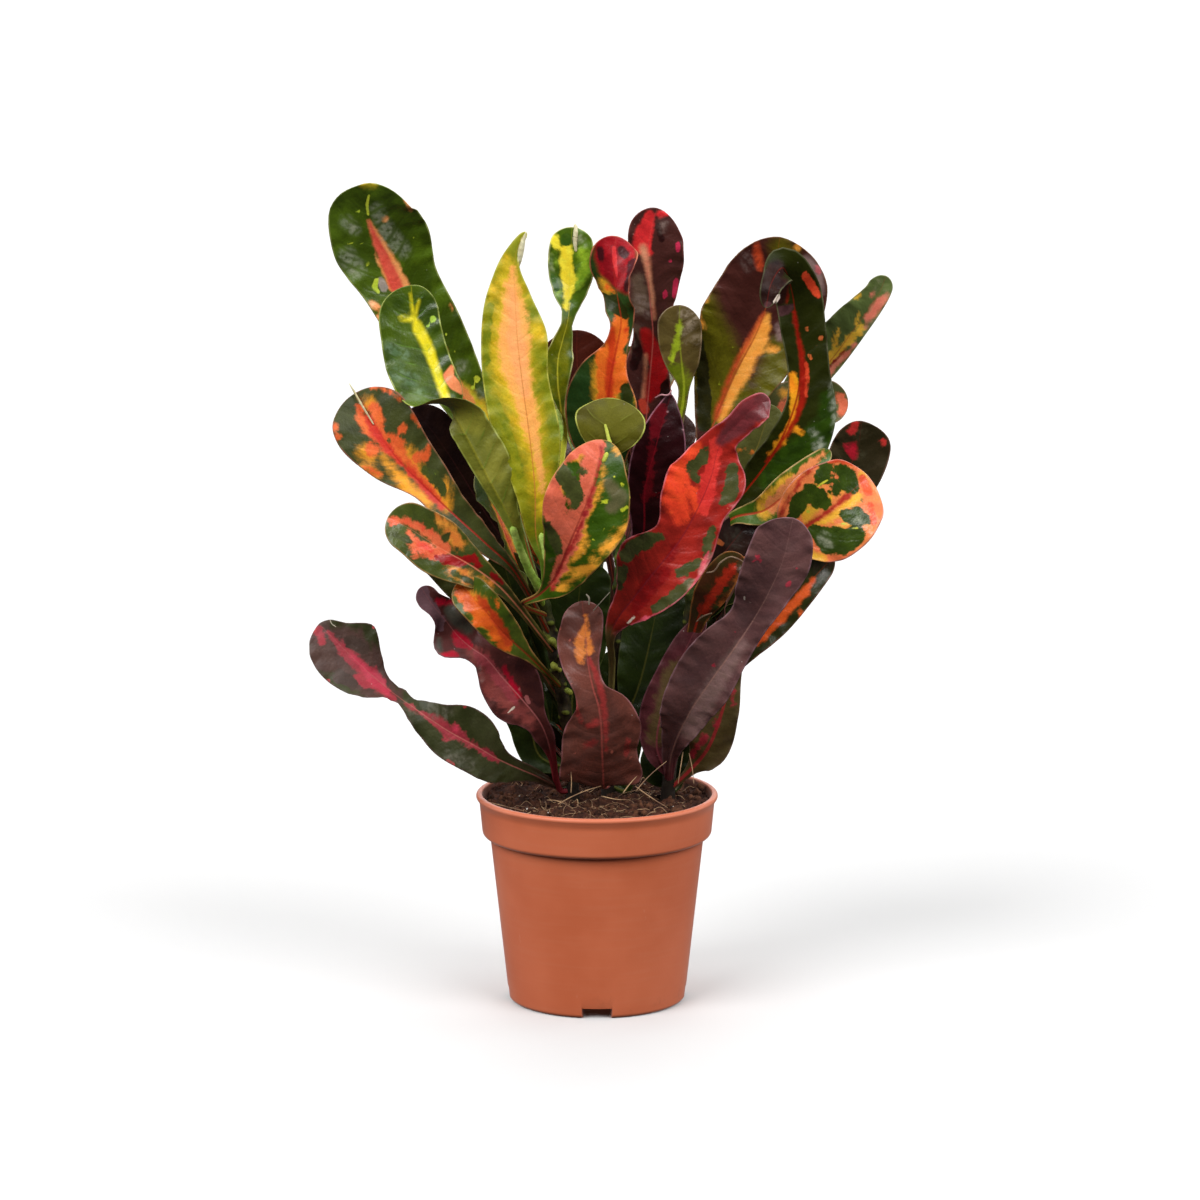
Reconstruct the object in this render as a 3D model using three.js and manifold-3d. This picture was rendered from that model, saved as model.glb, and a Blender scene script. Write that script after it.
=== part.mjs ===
// Potted croton: a bushy shrub with twisted, wavy leaves in a plastic nursery pot with a banded rim.
// Millimetres, +Z up. The origin is on the pot's axis, on the surface that it stands on.
// +X is the plant's right and -Y its front.
import * as THREE from 'three';
import { mergeVertices } from 'three/addons/utils/BufferGeometryUtils.js';
import Module from 'manifold-3d';

const wasm = await Module();
wasm.setup();

// ---------------------------------------------------------------- driving dimensions
const POT = {
  height: 105, rimRadius: 60.3, footRadius: 44.1, bodyTopRadius: 53.2,
  wall: 1.4, floorThickness: 2.2, floorLift: 4.5,
  band: { height: 21.2, topRadius: 58.7, lowRadius: 57.3 },
  beadHeight: 3, shoulder: 2.4,
  foot: { ringWidth: 5.5, cornerRadius: 2.4, notches: 4, notchWidth: 15, notchDepth: 14, notchHeight: 5.2 },
  drains: { count: 4, radius: 4, circle: 24, sides: 16 },
  sides: 36,
};
const SOIL = { top: 100.2, clearance: 0.35, bump: 0.7, fall: 0.0002, rings: 4 };
const HOLE_CLEARANCE = 0.35;
const STEM = { sides: 9, steps: 9 };
const BLADE = { thickness: 0.8, ridge: 0.5, minHalfWidth: 0.45, petioleRadius: 1.35, step: 15 };

// The eye that the plant is laid out for. "across" and "up" are millimetres in the upright plane
// through the pot's axis as it sees them, and "depth" is how far behind that plane a point lies.
const EYE = { distance: 2500, height: 682.2, across: 1.5, upCentre: 200, pitch: 10.86, scale: 2568 };
const rad = THREE.MathUtils.degToRad;
const PITCH = { cos: Math.cos(rad(EYE.pitch)), sin: Math.sin(rad(EYE.pitch)) };
const TO_EYE = new THREE.Vector3(0, -PITCH.cos, PITCH.sin);
const UP = new THREE.Vector3(0, 0, 1);

function fromFront(across, up, depth) {
  const a = across / EYE.scale;
  const b = (up - EYE.upCentre) / EYE.scale;
  const reach = (depth + EYE.distance) / (PITCH.cos + b * PITCH.sin);
  return new THREE.Vector3(
    EYE.across + a * reach, depth, EYE.height + (b * PITCH.cos - PITCH.sin) * reach);
}

// The front leaves are drawn on a sheet with two units to the millimetre, its x to the right and
// its y downward, and the foot of the pot's axis at the sheet's origin point. Leaves that stand
// forward of the near plane bow out further than drawn.
const SHEET = { unit: 0.5, originX: 600, originY: 1000, near: -12, bow: 1.75 };

// ---------------------------------------------------------------- the plant's layout
// Each stem: its axis from below the soil to the shoot, with its radius at both ends.
const STEMS = {
  left: { axis: [[-12, 4, 62], [-13, 2, 125], [-19, -8, 165], [-27, -14, 209]], radii: [3.8, 2.3] },
  middle: { axis: [[6, 14, 62], [6, 14, 130], [10, 12, 180], [12, 9, 236]], radii: [4, 2.2] },
  right: { axis: [[32, 4, 62], [38, 3, 130], [45, 1, 180], [49, -1, 227]], radii: [4, 2.3] },
  back: { axis: [[-6, 36, 62], [-9, 38, 130], [-12, 43, 180], [-10, 47, 228]], radii: [3.8, 2.2] },
};

// Leaves drawn as they are seen from the front, from the petiole to the tip: name, stem,
// height of the root, [tip rounding mm, fold deg, wave mm, waves, phase], then at each station
// [sheet x, sheet y, depth mm, half-width left, half-width right in sheet units, roll deg].
// A roll of 0 turns the upper face to the eye and 180 the lower face.
const FRONT_LEAVES = [
  ['broad_upper', 'left', 196, [20, 12, 1.6, 3, 0.5], [
    [505, 480, -4, 5, 5, 0], [462, 395, 6, 24, 26, 5], [427, 335, 9, 34, 38, 0],
    [398, 286, 8, 35, 42, 0], [381, 245, 5, 47, 50, 0], [371, 212, 0, 44, 46, 0],
    [370, 183, -6, 42, 46, 0]]],
  ['yellow_rib', 'left', 200, [16, 10, 1.2, 2, 1], [
    [527, 562, -25, 3, 3, 180], [512, 524, -32, 9, 6, 180], [484, 470, -36, 28, 10, 180],
    [460, 424, -36, 26, 14, 150], [444, 396, -32, 38, 20, 20], [430, 358, -28, 44, 19, 0],
    [415, 316, -25, 36, 24, 0], [411, 285, -24, 34, 27, 0]]],
  ['yellow_centre', 'left', 205, [3, 12, 1.4, 4, 0.2], [
    [543, 562, -30, 3, 3, 0], [536, 536, -33, 8, 8, 0], [535, 490, -33, 20, 20, 0],
    [530, 440, -32, 34, 30, 0], [522, 380, -30, 38, 26, 0], [517, 335, -28, 35, 29, 0],
    [515, 295, -26, 28, 15, 0], [514, 266, -25, 16, 5, 0], [518, 246, -24, 7, 4, 0],
    [526, 232, -23, 1.5, 1.5, 0]]],
  ['bright_twist', 'left', 203, [6, 12, 1, 2, 0], [
    [554, 500, -12, 3, 3, 0], [562, 440, -4, 5, 5, 0], [561, 410, -2, 4, 4, 0],
    [558, 386, -1, 11, 10, 0], [558, 360, 0, 14, 15, 10], [563, 338, 1, 12, 11, 35],
    [568, 318, 2, 9, 8, 45], [569, 299, 5, 15, 15, 20], [570, 275, 7, 21, 23, 0],
    [571, 250, 7, 22, 23, 0], [572, 227, 7, 17, 17, 0]]],
  ['orange_left', 'left', 186, [12, 14, 1.6, 3, 2], [
    [515, 572, -26, 4, 4, 0], [485, 543, -34, 12, 12, 25], [452, 513, -36, 16, 18, 10],
    [425, 487, -36, 14, 29, 0], [396, 457, -35, 30, 37, 0], [375, 425, -33, 41, 39, 0],
    [357, 392, -30, 30, 30, 0]]],
  ['rolled_left', 'left', 178, [10, 14, 1.2, 2, 0.8], [
    [505, 592, -36, 6, 6, 0], [475, 568, -44, 20, 14, 0], [440, 548, -47, 28, 28, 0],
    [412, 530, -47, 24, 26, 0], [388, 517, -45, 20, 20, 0]]],
  ['red_low_left', 'left', 160, [8, 12, 1, 2, 2.2], [
    [530, 657, -34, 5, 5, 0], [505, 634, -42, 16, 16, 0], [482, 607, -45, 19, 19, 0],
    [458, 582, -44, 18, 18, 0]]],
  ['dark_under_left', 'left', 150, [8, 10, 1, 2, 0], [
    [510, 628, -16, 6, 6, 0], [466, 590, -26, 16, 18, 0], [436, 562, -30, 14, 16, 0],
    [414, 543, -30, 12, 12, 0]]],
  ['corkscrew_left', 'left', 105, [5, 12, 1, 3, 1.1], [
    [560, 790, 0, 2.5, 2.5, 0], [552, 757, -13, 4, 4, 0], [546, 735, -18, 12, 8, 0],
    [538, 719, -22, 15, 9, 0], [520, 697, -26, 30, 26, 0], [502, 677, -28, 26, 32, 0],
    [486, 658, -30, 15, 20, 0], [470, 647, -31, 15, 17, 25], [457, 635, -32, 27, 24, 10],
    [447, 622, -33, 15, 26, -10], [438, 612, -34, 9, 18, 30], [429, 600, -34, 11, 12, 0],
    [421, 587, -34, 9, 10, 0]]],
  ['corkscrew_far_left', 'left', 112, [4, 10, 1, 3, 0.4], [
    [560, 785, 0, 3, 3, 0], [532, 774, -14, 8, 7, 0], [500, 760, -24, 24, 11, 0],
    [474, 745, -29, 27, 30, 0], [450, 732, -31, 26, 31, 0], [430, 719, -31, 19, 18, 0],
    [411, 706, -30, 14, 9, 45], [398, 697, -29, 13, 12, 55], [383, 685, -28, 24, 10, 35],
    [366, 670, -27, 31, 22, 10], [348, 653, -25, 34, 37, 0], [332, 637, -23, 29, 19, 0],
    [319, 624, -21, 13, 8, 0]]],
  ['orange_front', 'left', 197, [12, 14, 1.8, 3, 0.6], [
    [523, 604, -30, 2, 2, 0], [540, 594, -36, 3, 7, 0], [555, 578, -40, 12, 22, 0],
    [569, 545, -46, 26, 36, 0], [583, 512, -49, 40, 46, 0], [594, 486, -50, 40, 38, 0],
    [601, 462, -49, 32, 24, 0], [605, 440, -47, 24, 18, 0]]],
  ['olive_round', 'left', 206, [14, 8, 0.8, 1, 0], [
    [592, 520, -30, 3, 3, 180], [604, 462, -40, 5, 5, 180], [607, 440, -42, 28, 26, 180],
    [611, 415, -41, 36, 36, 180], [613, 398, -39, 34, 34, 180]]],
  ['red_twist', 'middle', 232, [9, 12, 1.2, 2, 0.4], [
    [612, 482, 4, 8, 8, 0], [606, 440, -4, 34, 27, 0], [608, 400, -8, 42, 29, 0],
    [612, 370, -9, 32, 15, 0], [617, 346, -9, 13, 11, 0], [621, 322, -9, 12, 13, 20],
    [618, 298, -9, 17, 17, -40], [614, 272, -8, 23, 23, -25], [614, 252, -6, 23, 23, 10],
    [616, 236, -4, 19, 19, 20]]],
  ['tall_red', 'middle', 224, [13, 16, 1.2, 3, 1.2], [
    [640, 470, 18, 8, 8, 0], [646, 420, 18, 24, 26, 0], [650, 375, 18, 27, 20, 0],
    [653, 335, 18, 20, 12, 0], [650, 300, 17, 21, 26, 0], [647, 262, 14, 18, 37, 0],
    [650, 235, 12, 22, 35, 0], [657, 208, 10, 22, 28, 0]]],
  ['small_oval', 'middle', 216, [10, 8, 0.6, 1, 0], [
    [672, 450, 8, 4, 4, 0], [682, 408, 4, 5, 4, 0], [684, 386, 2, 6, 6, 0], [682, 366, 1, 15, 16, 0],
    [680, 346, 0, 20, 21, 0], [679, 324, -1, 21, 22, 0], [680, 305, -1, 19, 19, 0]]],
  ['dark_spear', 'middle', 200, [3, 20, 1, 2, 0.5], [
    [643, 535, -8, 12, 12, 0], [645, 490, -14, 18, 26, 0], [655, 450, -17, 22, 32, 0],
    [663, 420, -17, 14, 22, 0], [671, 394, -16, 3, 3, 0]]],
  ['big_red', 'middle', 140, [5, 12, 1.6, 4, 0.3], [
    [612, 664, -12, 3, 3, 0], [610, 636, -26, 4, 5, 0], [618, 618, -32, 11, 13, 0],
    [632, 600, -37, 19, 24, 0], [656, 570, -42, 41, 38, -8], [680, 540, -44, 27, 36, 0],
    [698, 508, -45, 40, 27, 8], [711, 477, -45, 41, 35, 0], [717, 453, -45, 27, 22, 0],
    [723, 439, -46, 16, 15, 0], [736, 425, -47, 12, 15, 20], [749, 411, -48, 12, 17, 10],
    [761, 403, -48, 10, 16, 0], [770, 401, -47, 8, 12, 0]]],
  ['front_purple', 'middle', 105, [7, 14, 1.6, 3, 1.4], [
    [604, 786, -6, 6, 6, 0], [603, 772, -14, 41, 38, 0], [602, 748, -20, 41, 35, 0],
    [601, 723, -24, 37, 40, 0], [598, 704, -26, 25, 31, 0], [593, 688, -27, 19, 13, 0],
    [588, 664, -27, 26, 11, 0], [586, 640, -26, 29, 16, 0], [584, 618, -25, 22, 19, 0],
    [582, 601, -24, 16, 16, 0]]],
  ['brown_behind', 'middle', 196, [15, 10, 1.4, 2, 0.2], [
    [590, 450, 32, 8, 8, 0], [580, 400, 34, 26, 26, 0], [577, 360, 34, 37, 34, 0],
    [577, 330, 33, 35, 34, 0]]],
  ['big_upper_right', 'right', 216, [22, 12, 2, 3, 1], [
    [697, 480, 8, 7, 7, 0], [704, 450, 9, 8, 14, 0], [717, 415, 10, 24, 28, 0],
    [736, 372, 10, 45, 42, 0], [757, 332, 9, 60, 50, 0], [768, 300, 7, 56, 57, 0],
    [775, 266, 4, 46, 54, 0], [780, 237, 0, 44, 48, 0]]],
  ['dark_curled', 'right', 222, [8, 10, 1.6, 3, 0.7], [
    [716, 522, -6, 6, 6, 0], [742, 495, -10, 12, 12, 0], [765, 466, -14, 16, 28, 0],
    [780, 442, -17, 13, 44, 0], [795, 405, -19, 9, 42, 0], [801, 369, -19, 13, 28, 0],
    [797, 330, -19, 16, 28, 0], [792, 292, -20, 18, 28, 0], [783, 268, -26, 18, 20, 0],
    [771, 284, -34, 12, 10, 0], [766, 308, -36, 8, 8, 0]]],
  ['far_upper_right', 'right', 208, [6, 10, 1, 3, 0.3], [
    [745, 450, 22, 5, 5, 0], [785, 408, 24, 14, 12, 0], [826, 366, 24, 30, 12, 0],
    [855, 328, 18, 25, 12, 0], [878, 295, 11, 15, 11, 0], [886, 276, 8, 12, 10, 0]]],
  ['pink_edge_right', 'right', 201, [8, 10, 1, 2, 0.9], [
    [742, 486, 14, 5, 5, 0], [764, 446, 15, 14, 14, 0], [788, 414, 16, 30, 18, 0],
    [818, 404, 17, 24, 22, 0], [848, 400, 15, 18, 20, 0]]],
  ['dark_oval_right', 'right', 192, [11, 10, 1, 2, 0], [
    [760, 520, 10, 5, 5, 0], [808, 504, 14, 12, 14, 0], [838, 482, 16, 22, 32, 0],
    [856, 453, 16, 26, 33, 0], [862, 421, 13, 22, 29, 0]]],
  ['blotched_right', 'right', 180, [9, 12, 1.8, 3, 1.3], [
    [750, 558, -14, 5, 5, 0], [785, 542, -20, 16, 14, 0], [808, 526, -23, 39, 43, 0],
    [832, 508, -25, 46, 49, 0], [853, 490, -24, 37, 41, 0], [869, 477, -22, 20, 28, 0]]],
  ['salmon_tongue', 'right', 206, [4, 14, 1.2, 2, 0.2], [
    [728, 522, -10, 5, 5, 0], [765, 510, -18, 14, 14, 0], [790, 490, -21, 18, 14, 0],
    [812, 468, -21, 13, 11, 0], [830, 450, -20, 6, 6, 0]]],
  ['purple_front_right', 'right', 108, [10, 12, 1.6, 4, 0.2], [
    [672, 752, -12, 10, 8, 0], [690, 712, -26, 29, 20, 0], [710, 682, -34, 37, 24, 0],
    [733, 650, -40, 35, 18, 0], [752, 622, -44, 24, 16, 0], [768, 594, -50, 32, 20, 0],
    [783, 560, -55, 36, 27, 0], [793, 518, -58, 30, 20, 0]]],
  ['orange_rib_right', 'right', 122, [8, 12, 1.6, 3, 0.8], [
    [715, 690, -8, 5, 5, 0], [742, 653, -16, 10, 12, 0], [774, 620, -20, 22, 17, 0],
    [802, 590, -21, 24, 15, 0], [833, 557, -20, 18, 9, 0]]],
  ['olive_low_right', 'right', 105, [6, 12, 1.6, 3, 0], [
    [690, 770, -2, 5, 6, 0], [708, 748, -10, 20, 20, 0], [722, 712, -14, 26, 17, 0],
    [730, 680, -15, 20, 11, 0], [738, 652, -15, 10, 6, 0]]],
  ['maroon_low', 'right', 112, [4, 16, 1.2, 2, 0.4], [
    [657, 748, -4, 14, 10, 0], [661, 715, -8, 22, 22, 0], [675, 676, -10, 20, 22, 0],
    [690, 640, -10, 14, 14, 0], [704, 616, -9, 5, 5, 0]]],
  ['olive_mid_right', 'right', 196, [8, 10, 1, 2, 0.3], [
    [715, 520, -2, 5, 5, 0], [740, 480, -2, 16, 16, 0], [758, 445, -2, 20, 20, 0],
    [770, 404, -1, 18, 18, 0]]],
  ['dark_mid_right', 'right', 172, [8, 10, 1, 2, 0.6], [
    [710, 574, -6, 7, 7, 0], [728, 548, -10, 22, 20, 0], [746, 526, -11, 19, 19, 0],
    [760, 510, -11, 16, 16, 0]]],
  ['orange_mid_right', 'right', 150, [6, 12, 1, 2, 0.6], [
    [697, 622, -12, 8, 8, 0], [712, 592, -18, 17, 16, 0], [728, 570, -20, 17, 14, 0],
    [743, 556, -20, 12, 10, 0]]],
  ['shade_left', 'left', 116, [8, 12, 1.2, 2, 0.3], [
    [540, 756, 2, 16, 14, 0], [530, 722, -2, 22, 20, 0], [518, 680, -5, 26, 24, 0],
    [507, 640, -7, 26, 24, 0], [500, 600, -7, 22, 22, 0]]],
  ['shade_left_high', 'left', 138, [8, 12, 1.2, 2, 1.3], [
    [540, 660, -4, 6, 6, 0], [526, 625, -8, 16, 16, 0], [512, 590, -9, 22, 22, 0],
    [500, 552, -8, 20, 20, 0]]],
  ['shade_left_mid', 'left', 126, [8, 12, 1.2, 2, 2.3], [
    [572, 706, 4, 6, 6, 0], [575, 655, 4, 32, 29, 0], [578, 605, 3, 38, 32, 0],
    [584, 560, 2, 34, 28, 0]]],
  ['shade_middle', 'middle', 110, [9, 12, 1.2, 2, 0.9], [
    [624, 724, 8, 6, 6, 0], [640, 682, 9, 24, 24, 0], [652, 632, 12, 30, 34, 0],
    [662, 580, 15, 26, 30, 0]]],
  ['shade_right', 'right', 124, [8, 12, 1.2, 2, 1.9], [
    [698, 702, 6, 6, 6, 0], [714, 660, 7, 18, 18, 0], [734, 618, 8, 24, 22, 0],
    [752, 574, 9, 20, 20, 0]]],
  ['shade_low_left', 'left', 107, [8, 12, 1.2, 2, 1.7], [
    [562, 788, 6, 5, 5, 0], [557, 764, 7, 20, 18, 0], [552, 728, 8, 28, 20, 0],
    [553, 690, 9, 24, 20, 0]]],
  ['shade_low_middle', 'middle', 106, [8, 12, 1.2, 2, 0.2], [
    [626, 790, 12, 4, 4, 0], [625, 768, 12, 14, 12, 0], [622, 730, 12, 22, 22, 0],
    [618, 688, 12, 24, 24, 0], [614, 650, 12, 18, 18, 0]]],
  ['shade_low_right', 'right', 106, [8, 12, 1.2, 2, 2.6], [
    [676, 788, 8, 5, 5, 0], [668, 768, 9, 27, 24, 0], [670, 746, 10, 24, 26, 0],
    [677, 712, 10, 20, 20, 0]]],
  ['black_behind_left', 'back', 190, [12, 10, 1.4, 2, 0.2], [
    [520, 560, 22, 10, 10, 0], [490, 520, 17, 30, 30, 0], [460, 472, 15, 36, 32, 0],
    [436, 436, 14, 28, 24, 0], [412, 408, 14, 20, 18, 0]]],
];

// Leaves that grow to the sides and back: name, stem, height of the root,
// [azimuth, rise at the root, rise at the tip, sideways swing] in degrees,
// [length, half-width, waist 0-1, twist deg], [tip rounding, fold deg, wave mm, waves, phase].
const ROUND_LEAVES = [
  ['back_top_left', 'back', 222, [128, 66, 74, -10], [106, 18, 0.3, 50], [12, 12, 1.6, 3, 0.2]],
  ['back_top_middle', 'back', 226, [78, 72, 78, 10], [100, 18, 0.4, -70], [12, 12, 1.4, 3, 1.1]],
  ['back_top_right', 'back', 216, [34, 62, 70, 14], [112, 18, 0.2, 50], [12, 12, 1.6, 3, 2.0]],
  ['back_high_left', 'back', 206, [148, 56, 60, -10], [112, 18, 0.5, 60], [12, 12, 1.4, 4, 0.6]],
  ['back_high_middle', 'back', 200, [98, 60, 66, -8], [92, 19, 0.2, -40], [13, 14, 1.8, 3, 1.5]],
  ['back_high_right', 'back', 192, [54, 52, 60, -16], [100, 18, 0.5, 90], [11, 12, 1.4, 4, 0.9]],
  ['back_mid_left', 'back', 178, [128, 44, 56, 12], [92, 18, 0.3, -60], [12, 12, 1.6, 3, 2.4]],
  ['back_mid_middle', 'back', 168, [80, 48, 68, 10], [80, 18, 0.3, -40], [12, 12, 1.6, 3, 1.1]],
  ['back_mid_right', 'back', 160, [38, 44, 54, 10], [96, 18, 0.4, 60], [12, 12, 1.6, 3, 0.1]],
  ['back_far_left', 'back', 186, [166, 46, 50, -8], [96, 16, 0.4, 80], [10, 12, 1.4, 3, 1.7]],
  ['back_low_left', 'back', 136, [132, 38, 66, 10], [78, 16, 0.5, 120], [10, 12, 1.4, 3, 0.4]],
  ['back_low_middle', 'back', 126, [96, 42, 68, -10], [74, 17, 0.5, -90], [10, 12, 1.6, 4, 1.2]],
  ['back_low_right', 'back', 116, [50, 36, 64, 8], [80, 16, 0.5, 100], [10, 12, 1.4, 3, 2.1]],
  ['middle_back_left', 'middle', 222, [120, 66, 80, 4], [80, 16, 0.3, -50], [11, 12, 1.4, 3, 0.8]],
  ['middle_back_right', 'middle', 212, [46, 62, 72, 8], [90, 17, 0.4, 70], [11, 12, 1.4, 3, 1.9]],
  ['right_back_high', 'right', 205, [66, 54, 62, 10], [98, 18, 0.3, -60], [12, 12, 1.6, 3, 0.3]],
  ['right_back_mid', 'right', 180, [46, 40, 54, -12], [96, 18, 0.4, 80], [11, 12, 1.6, 3, 1.4]],
  ['right_back_low', 'right', 138, [52, 38, 64, 10], [86, 16, 0.5, -90], [10, 12, 1.4, 3, 2.2]],
  ['right_side_mid', 'right', 166, [22, 54, 66, -18], [92, 17, 0.4, -36], [11, 14, 1.6, 3, 2.6]],
  ['right_side_low', 'right', 124, [14, 52, 72, 8], [78, 16, 0.4, 30], [10, 14, 1.4, 3, 1.2]],
  ['left_side_high', 'left', 186, [178, 64, 74, -8], [92, 17, 0.3, -28], [12, 14, 1.6, 3, 0.9]],
  ['left_side_low', 'left', 118, [178, 48, 68, -4], [76, 15, 0.4, 36], [10, 14, 1.4, 3, 2.2]],
  ['left_back_high', 'left', 156, [140, 40, 60, -12], [80, 16, 0.4, 60], [10, 12, 1.4, 3, 0.5]],
  ['left_back_low', 'left', 130, [136, 38, 62, 6], [82, 15, 0.5, -80], [10, 12, 1.4, 3, 1.3]],
];

// ---------------------------------------------------------------- small helpers
const lerp = THREE.MathUtils.lerp;

// A smooth curve through rows of numbers, each at its own parameter.
function through(params, rows) {
  const last = params.length - 1;
  const slope = (i, k) => {
    const a = Math.max(0, i - 1), b = Math.min(last, i + 1);
    return (rows[b][k] - rows[a][k]) / (params[b] - params[a]);
  };
  return (u) => {
    let i = 0;
    while (i < last - 1 && u > params[i + 1]) i++;
    const span = params[i + 1] - params[i];
    const t = Math.min(1, Math.max(0, (u - params[i]) / span));
    const t2 = t * t, t3 = t2 * t;
    return rows[i].map((p, k) =>
      p * (2 * t3 - 3 * t2 + 1) + rows[i + 1][k] * (3 * t2 - 2 * t3)
      + slope(i, k) * span * (t3 - 2 * t2 + t) + slope(i + 1, k) * span * (t3 - t2));
  };
}

function chordLengths(rows) {
  const lengths = [0];
  for (let i = 1; i < rows.length; i++) {
    const [x, y, z] = [0, 1, 2].map((k) => rows[i][k] - rows[i - 1][k]);
    lengths.push(lengths[i - 1] + Math.hypot(x, y, z));
  }
  return lengths;
}

// A closed solid from rings of equal size, each a list of points, capped at both ends.
function solidFromRings(rings) {
  const size = rings[0].length;
  const points = [], faces = [];
  for (const ring of rings) for (const p of ring) points.push(p.x, p.y, p.z);
  for (let r = 0; r + 1 < rings.length; r++) {
    for (let i = 0; i < size; i++) {
      const a = r * size + i, b = r * size + (i + 1) % size;
      faces.push(a, b, b + size, a, b + size, a + size);
    }
  }
  const end = (rings.length - 1) * size;
  for (let i = 1; i + 1 < size; i++) faces.push(0, i + 1, i, end, end + i, end + i + 1);
  return solid(points, faces);
}

function solid(points, faces) {
  return new wasm.Manifold(new wasm.Mesh({
    numProp: 3, vertProperties: Float32Array.from(points), triVerts: Uint32Array.from(faces) }));
}

// A solid from a closed three.js geometry: shared corners merged, faces without area dropped.
function solidOf(geometry) {
  geometry.deleteAttribute('normal');
  geometry.deleteAttribute('uv');
  const merged = mergeVertices(geometry, 1e-4);
  const index = merged.index.array, faces = [];
  for (let i = 0; i < index.length; i += 3) {
    const [a, b, c] = index.subarray(i, i + 3);
    if (a !== b && b !== c && c !== a) faces.push(a, b, c);
  }
  return solid(merged.attributes.position.array, faces);
}

// Keeps the biggest body and drops any loose scrap or sealed hollow.
function oneBody(shape) {
  const bodies = shape.decompose().sort((a, b) => b.volume() - a.volume());
  return bodies[0];
}

// ---------------------------------------------------------------- stems and leaves
function stemCurve({ axis, radii }) {
  const lengths = chordLengths(axis);
  const total = lengths[lengths.length - 1];
  const rows = axis.map((p, i) => [...p, lerp(radii[0], radii[1], lengths[i] / total)]);
  return { at: through(lengths, rows), total };
}

function pointAtHeight(curve, z) {
  let low = 0, high = curve.total;
  for (let i = 0; i < 30; i++) {
    const middle = (low + high) / 2;
    if (curve.at(middle)[2] < z) low = middle; else high = middle;
  }
  return curve.at(low);
}

function stemSolid(curve, extra = 0) {
  const rings = [];
  for (let i = 0; i <= STEM.steps; i++) {
    const [x, y, z, radius] = curve.at(curve.total * i / STEM.steps);
    const ring = [];
    for (let k = 0; k < STEM.sides; k++) {
      const angle = 2 * Math.PI * k / STEM.sides;
      ring.push(new THREE.Vector3(
        x + (radius + extra) * Math.cos(angle), y + (radius + extra) * Math.sin(angle), z));
    }
    rings.push(ring);
  }
  return solidFromRings(rings);
}

// Stations of a leaf seen from the front: [x, y, z, left, right, roll], from inside the stem.
function frontStations(curve, height, stations) {
  const root = pointAtHeight(curve, height);
  const petiole = BLADE.petioleRadius;
  const rows = [[root[0], root[1], root[2], petiole, petiole, stations[0][5]]];
  for (const [x, y, drawn, left, right, roll] of stations) {
    const { unit, near, bow } = SHEET;
    const depth = drawn < near ? near + (drawn - near) * bow : drawn;
    const p = fromFront((x - SHEET.originX) * unit, (SHEET.originY - y) * unit, depth);
    rows.push([p.x, p.y, p.z, Math.max(left * unit, petiole), Math.max(right * unit, petiole), roll]);
  }
  return rows;
}

// Stations of a leaf that grows away to the side: a rising line that bends over along its length.
function roundStations(curve, height, [azimuth, rise, tipRise, swing], [length, half, waist, twist]) {
  const root = pointAtHeight(curve, height);
  const steps = 7, rows = [];
  const p = new THREE.Vector3(...root);
  for (let i = 0; i <= steps; i++) {
    const t = i / steps;
    const petiole = Math.min(1, Math.max(0, (t - 0.1) / 0.3));
    const swell = petiole * petiole * (3 - 2 * petiole);
    const pinch = 1 - waist * Math.exp(-(((t - 0.55) / 0.13) ** 2));
    const w = lerp(BLADE.petioleRadius, half * pinch, swell);
    rows.push([p.x, p.y, p.z, w, w, twist * t * t]);
    const up = rad(lerp(rise, tipRise, t)), around = rad(azimuth + swing * t);
    const run = length / steps;
    p.add(new THREE.Vector3(
      run * Math.cos(up) * Math.cos(around), run * Math.cos(up) * Math.sin(around), run * Math.sin(up)));
  }
  return rows;
}

// The place and normal of a blade at a distance along it and across it (-1 left edge, 1 right).
function bladeForm(rows, [rounding, fold, wave, waves, phase], facing) {
  const lengths = chordLengths(rows);
  const total = lengths[lengths.length - 1];
  const curve = through(lengths, rows);
  const point = (row) => new THREE.Vector3(row[0], row[1], row[2]);
  return { total, rounding, at(distance) {
    const row = curve(distance);
    const tangent = point(curve(Math.min(total, distance + 0.5)))
      .sub(point(curve(Math.max(0, distance - 0.5)))).normalize();
    const face = facing.clone().addScaledVector(tangent, -facing.dot(tangent)).normalize();
    const side = new THREE.Vector3().crossVectors(tangent, face);
    const roll = rad(row[5]);
    const normal = face.clone().multiplyScalar(Math.cos(roll)).addScaledVector(side, Math.sin(roll));
    const right = side.clone().multiplyScalar(Math.cos(roll)).addScaledVector(face, -Math.sin(roll));
    const past = Math.max(0, distance - (total - rounding)) / rounding;
    const taper = Math.sqrt(Math.max(0, 1 - past * past));
    const halves = [row[3], row[4]].map((w) => Math.max(BLADE.minHalfWidth, w * taper));
    return { centre: point(row), normal, right, halves, across(s) {
      const half = s < 0 ? halves[0] : halves[1];
      const amount = wave * Math.min(1, half / 9) * Math.min(1, past ? 1 - past : 1);
      const ripple = amount * s * s
        * Math.sin(2 * Math.PI * waves * distance / total + phase + (s > 0 ? 1.9 : 0));
      const lift = Math.abs(s) * half * Math.sin(rad(fold)) * Math.min(1, half / 6);
      return point(row).addScaledVector(right, s * half * Math.cos(rad(fold)))
        .addScaledVector(normal, lift + ripple);
    } };
  } };
}

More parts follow.
